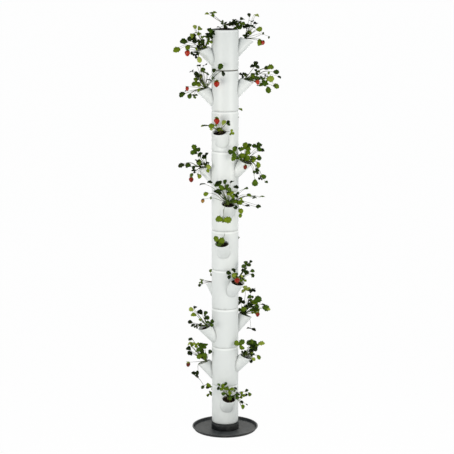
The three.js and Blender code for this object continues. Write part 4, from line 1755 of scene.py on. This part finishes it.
# The route of a stalk: up from the crown, over the rim where its end lies outside, and on to the end
def stalkRoute(site, end):
    size = plantSizes
    start = site["crown"]
    if site["rim"] is None:
        outside = end.xy.length > tierSizes["radius"]
        over = start.lerp(end, tierSizes["radius"] / end.xy.length if outside else size["overShare"])
        over.z = max(over.z, size["stalkLift"])
        return [start, over, end]
    share = rimShare(start, end, site["rim"])
    over = start.lerp(end, share)
    over.z = max(over.z, rimHeight(over.x) + size["stalkLift"])
    if share < size["bendBefore"] and end.z > over.z - size["bendDrop"]:
        bend = start.lerp(end, (1 + share) / 2)
        bend.z = max(bend.z, over.z) + size["bendRise"] * (end - start).xy.length
        return [start, over, bend, end]
    return [start, over, end]


def stalkMesh(routes):
    size = plantSizes
    curve = bpy.data.curves.new("stalks", "CURVE")
    curve.dimensions = "3D"
    curve.bevel_depth = size["stalkRadius"]
    curve.bevel_resolution = 1
    curve.resolution_u = size["stalkSteps"]
    curve.use_fill_caps = True
    for points, thickness in routes:
        spline = curve.splines.new("BEZIER")
        spline.bezier_points.add(len(points) - 1)
        for number, bezier in enumerate(spline.bezier_points):
            bezier.co = points[number]
            bezier.handle_left_type = bezier.handle_right_type = "AUTO"
            thinned = size["stalkThinning"] * number / (len(points) - 1)
            bezier.radius = thickness * (size["stalkStart"] - thinned)
    holder = bpy.data.objects.new("stalks", curve)
    mesh = bpy.data.meshes.new_from_object(holder)
    bpy.data.objects.remove(holder)
    for polygon in mesh.polygons:
        polygon.material_index = stalkIndex
        polygon.use_smooth = True
    return mesh


def addShape(bm, mesh, matrix, tone):
    copied = mesh.copy()
    copied.transform(matrix)
    tones = copied.attributes.get("tone") or copied.attributes.new("tone", "FLOAT", "POINT")
    tones.data.foreach_set("value", [tone] * len(copied.vertices))
    bm.from_mesh(copied)
    bpy.data.meshes.remove(copied)


def leafAxes(heading, lean, chance):
    size = plantSizes
    lean = math.radians(lean + stray(chance, size["leanStray"]))
    normal = (up * math.cos(lean) + towardsViewer * math.sin(lean)).normalized()
    flatX = Vector((1, 0, 0))
    normal = (normal + flatX * stray(chance, size["rollStray"])).normalized()
    flatX = (flatX - normal * flatX.dot(normal)).normalized()
    angle = math.radians(heading + stray(chance, size["headingStray"]))
    midrib = flatX * math.cos(angle) + normal.cross(flatX) * math.sin(angle)
    return midrib, normal


def leafletMatrix(base, midrib, normal, length):
    across = normal.cross(midrib)
    turn = Matrix((midrib, across, normal)).transposed().to_4x4()
    return Matrix.Translation(base) @ turn @ Matrix.Scale(length, 4)


# Adds one leaf to the plant's mesh and gives back the route and thickness of its stalk
def addLeaf(bm, site, row, age, chance, turned=0):
    size = plantSizes
    *place, length, heading, lean, leaflets, tone = row
    aboutStalk = Matrix.Rotation(math.radians(turned), 3, up)
    midrib, normal = (aboutStalk @ axis for axis in leafAxes(heading, lean, chance))
    base = onPlant(site, place)
    if leaflets == 1:
        base = base - midrib * length * mm / 2
    for turn in leafletTurns[leaflets]:
        angle = math.radians(turn * size["spread"] + stray(chance, size["spreadStray"]))
        along = Matrix.Rotation(angle, 3, normal) @ midrib
        tilt = Matrix.Rotation(stray(chance, size["leafletTilt"]), 3, along)
        share = (size["sideLeaflet"] if turn else 1) * chance.uniform(*size["leafletSpread"])
        kind = chance.choice(leafletMeshes[age])
        matrix = leafletMatrix(base, along, tilt @ normal, length * mm * share)
        addShape(bm, kind, matrix, tone + stray(chance, size["toneStray"]))
    route = stalkRoute(site, site["frame"].inverted() @ base)
    return route, chance.uniform(*size["stalkSpread"])


# Small leaves that fill the heart of the plant, between its crown and the grown leaves
def youngRows(site, grown, share, chance):
    size = plantSizes
    lowest = (site["crown"].z + size["youngLift"]) / pocketReach
    for _ in range(round(share * len(grown))):
        end = Vector(chance.choice(grown)[:3])
        place = (site["crown"] / pocketReach).lerp(end, chance.uniform(*size["youngReach"]))
        place += randomVector(chance, -1, 1) * size["youngStray"] / pocketReach
        if place.x < 1:
            place.z = max(place.z, lowest)
        isShadowed = chance.random() < size["shadowed"]
        tone = chance.uniform(*size["shadowTones" if isShadowed else "litTones"])
        length = chance.uniform(*size["youngLength"])
        heading = chance.uniform(*size["youngHeading"])
        lean = chance.uniform(*size["youngLean"])
        yield (*place, length, heading, lean, chance.choice(size["youngLeaflets"]), tone)


# Leaves behind the grown ones as the viewer sees them, clear of the column and of the pockets that
# sweep over them when the tier above turns
def rearRows(site, grown, chance):
    size = plantSizes
    for *place, length, heading, lean, leaflets, tone in grown:
        if leaflets == 0 or chance.random() > size["rearShare"]:
            continue
        front = onPlant(site, place)
        seenAlong = (front - bpy.context.scene.camera.location).normalized()
        rear = front + seenAlong * chance.uniform(*size["rearDepth"]) * mm
        fromColumn = rear.xy.length / mm - tierSizes["radius"]
        underSweep = rear.z / mm + length / 2 < site["top"] + fromColumn
        outside = fromColumn > size["rearClear"] and rear.y < cadBox[1][1] - size["rearClear"] * mm
        if outside and underSweep:
            moved = site["frame"].inverted() @ rear / pocketReach
            yield (*moved, length * size["rearLength"], heading, lean, leaflets, tone)


# A runner's stalk goes on from leaf to leaf
def addRunner(bm, site, rows, chance):
    routes = []
    for row in rows:
        route, thickness = addLeaf(bm, site, row, "grown", chance)
        if routes:
            knot = routes[-1][0][-1]
            arch = knot.lerp(route[-1], 0.5) + up * plantSizes["runnerArch"]
            route = [knot, arch, route[-1]]
        routes.append((route, thickness))
    return routes


def addBerry(bm, site, row, chance):
    size = plantSizes
    *place, length, tone = row
    tilt = Matrix.Rotation(stray(chance, size["berryHang"]), 4, "X")
    hang = tilt @ Matrix.Rotation(stray(chance, size["berryHang"]), 4, "Y")
    top = onPlant(site, place) + up * length * mm / 2
    matrix = Matrix.Translation(top) @ hang @ Matrix.Scale(length * mm, 4)
    addShape(bm, chance.choice(berryMeshes), matrix, tone)
    return stalkRoute(site, site["frame"].inverted() @ top), size["berryStalk"]


# The crown of the plant: a knobbly stub in the soil
def addRoot(bm, site, chance):
    size = plantSizes
    toneLayer = bm.verts.layers.float["tone"]
    height = size["rootHeight"] + size["rootBelow"]
    half = (size["rootRadius"], size["rootRadius"], height / 2 + size["rootCap"])
    made = ballShape(bm, size["rootSteps"], half)
    shift = randomVector(chance, 0, patternShift)
    for vertex in made:
        vertex.co *= 1 + size["rootLumps"] * noise.noise(vertex.co * size["rootLumpScale"] + shift)
        vertex[toneLayer] = size["rootTone"]
    for face in {face for vertex in made for face in vertex.link_faces}:
        face.material_index = stalkIndex
        face.smooth = True
    turn = up.rotation_difference(site["up"]).to_matrix().to_4x4()
    middle = Matrix.Translation(site["crown"] - site["up"] * height / 2)
    bmesh.ops.transform(bm, matrix=site["frame"] @ middle @ turn, verts=made)


# A row of the table, with its place and tone as shares
def asShares(row):
    out, side, rise, *rest, tone = row
    return (out / 100, side / 100, rise / 100, *rest, tone / 100)


def makePlant(name, tier, pocket, rows):
    size = plantSizes
    chance = random.Random(name)
    rearChance = random.Random(name + " rear")
    site = plantSite(tier, pocket)
    bm = bmesh.new()
    bm.loops.layers.uv.new("leafMap")
    bm.verts.layers.float.new("tone")
    bm.verts.layers.float.new("underside")
    kinds = ("leaves", "runner", "berries")
    grown, runner, berries = ([asShares(row) for row in rows.get(kind, [])] for kind in kinds)
    routes = [addLeaf(bm, site, row, "grown", chance) for row in grown]
    routes += addRunner(bm, site, runner, chance)
    for row in youngRows(site, grown, rows.get("young", size["youngShare"]), chance):
        routes.append(addLeaf(bm, site, row, "young", chance))
    for row in rearRows(site, grown, rearChance):
        turned = rearChance.choice(size["rearTurns"])
        routes.append(addLeaf(bm, site, row, "grown", rearChance, turned))
    routes += [addBerry(bm, site, row, chance) for row in berries]
    addRoot(bm, site, chance)
    addShape(bm, stalkMesh(routes), site["frame"], size["stalkTone"])
    plant = newPiece(name + "_strawberry", bm, plantFinishes)
    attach(plant, tier)
    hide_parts(name)


for (tier, pocket), rows in plants.items():
    name = "crown_plant" if pocket == "crown" else f"{tier}_plant_{pocket}"
    makePlant(name, tier, pocket, rows)
print("plants grown:", len(plants))

for name, node in frame["nodes"].items():
    if name.endswith("_soil"):
        node.material_slots[0].material = pottingSoil
frame["nodes"]["drain_grate"].material_slots[0].material = darkPlastic

[[list(corner) for corner in box] for box in (cadBox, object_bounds())]
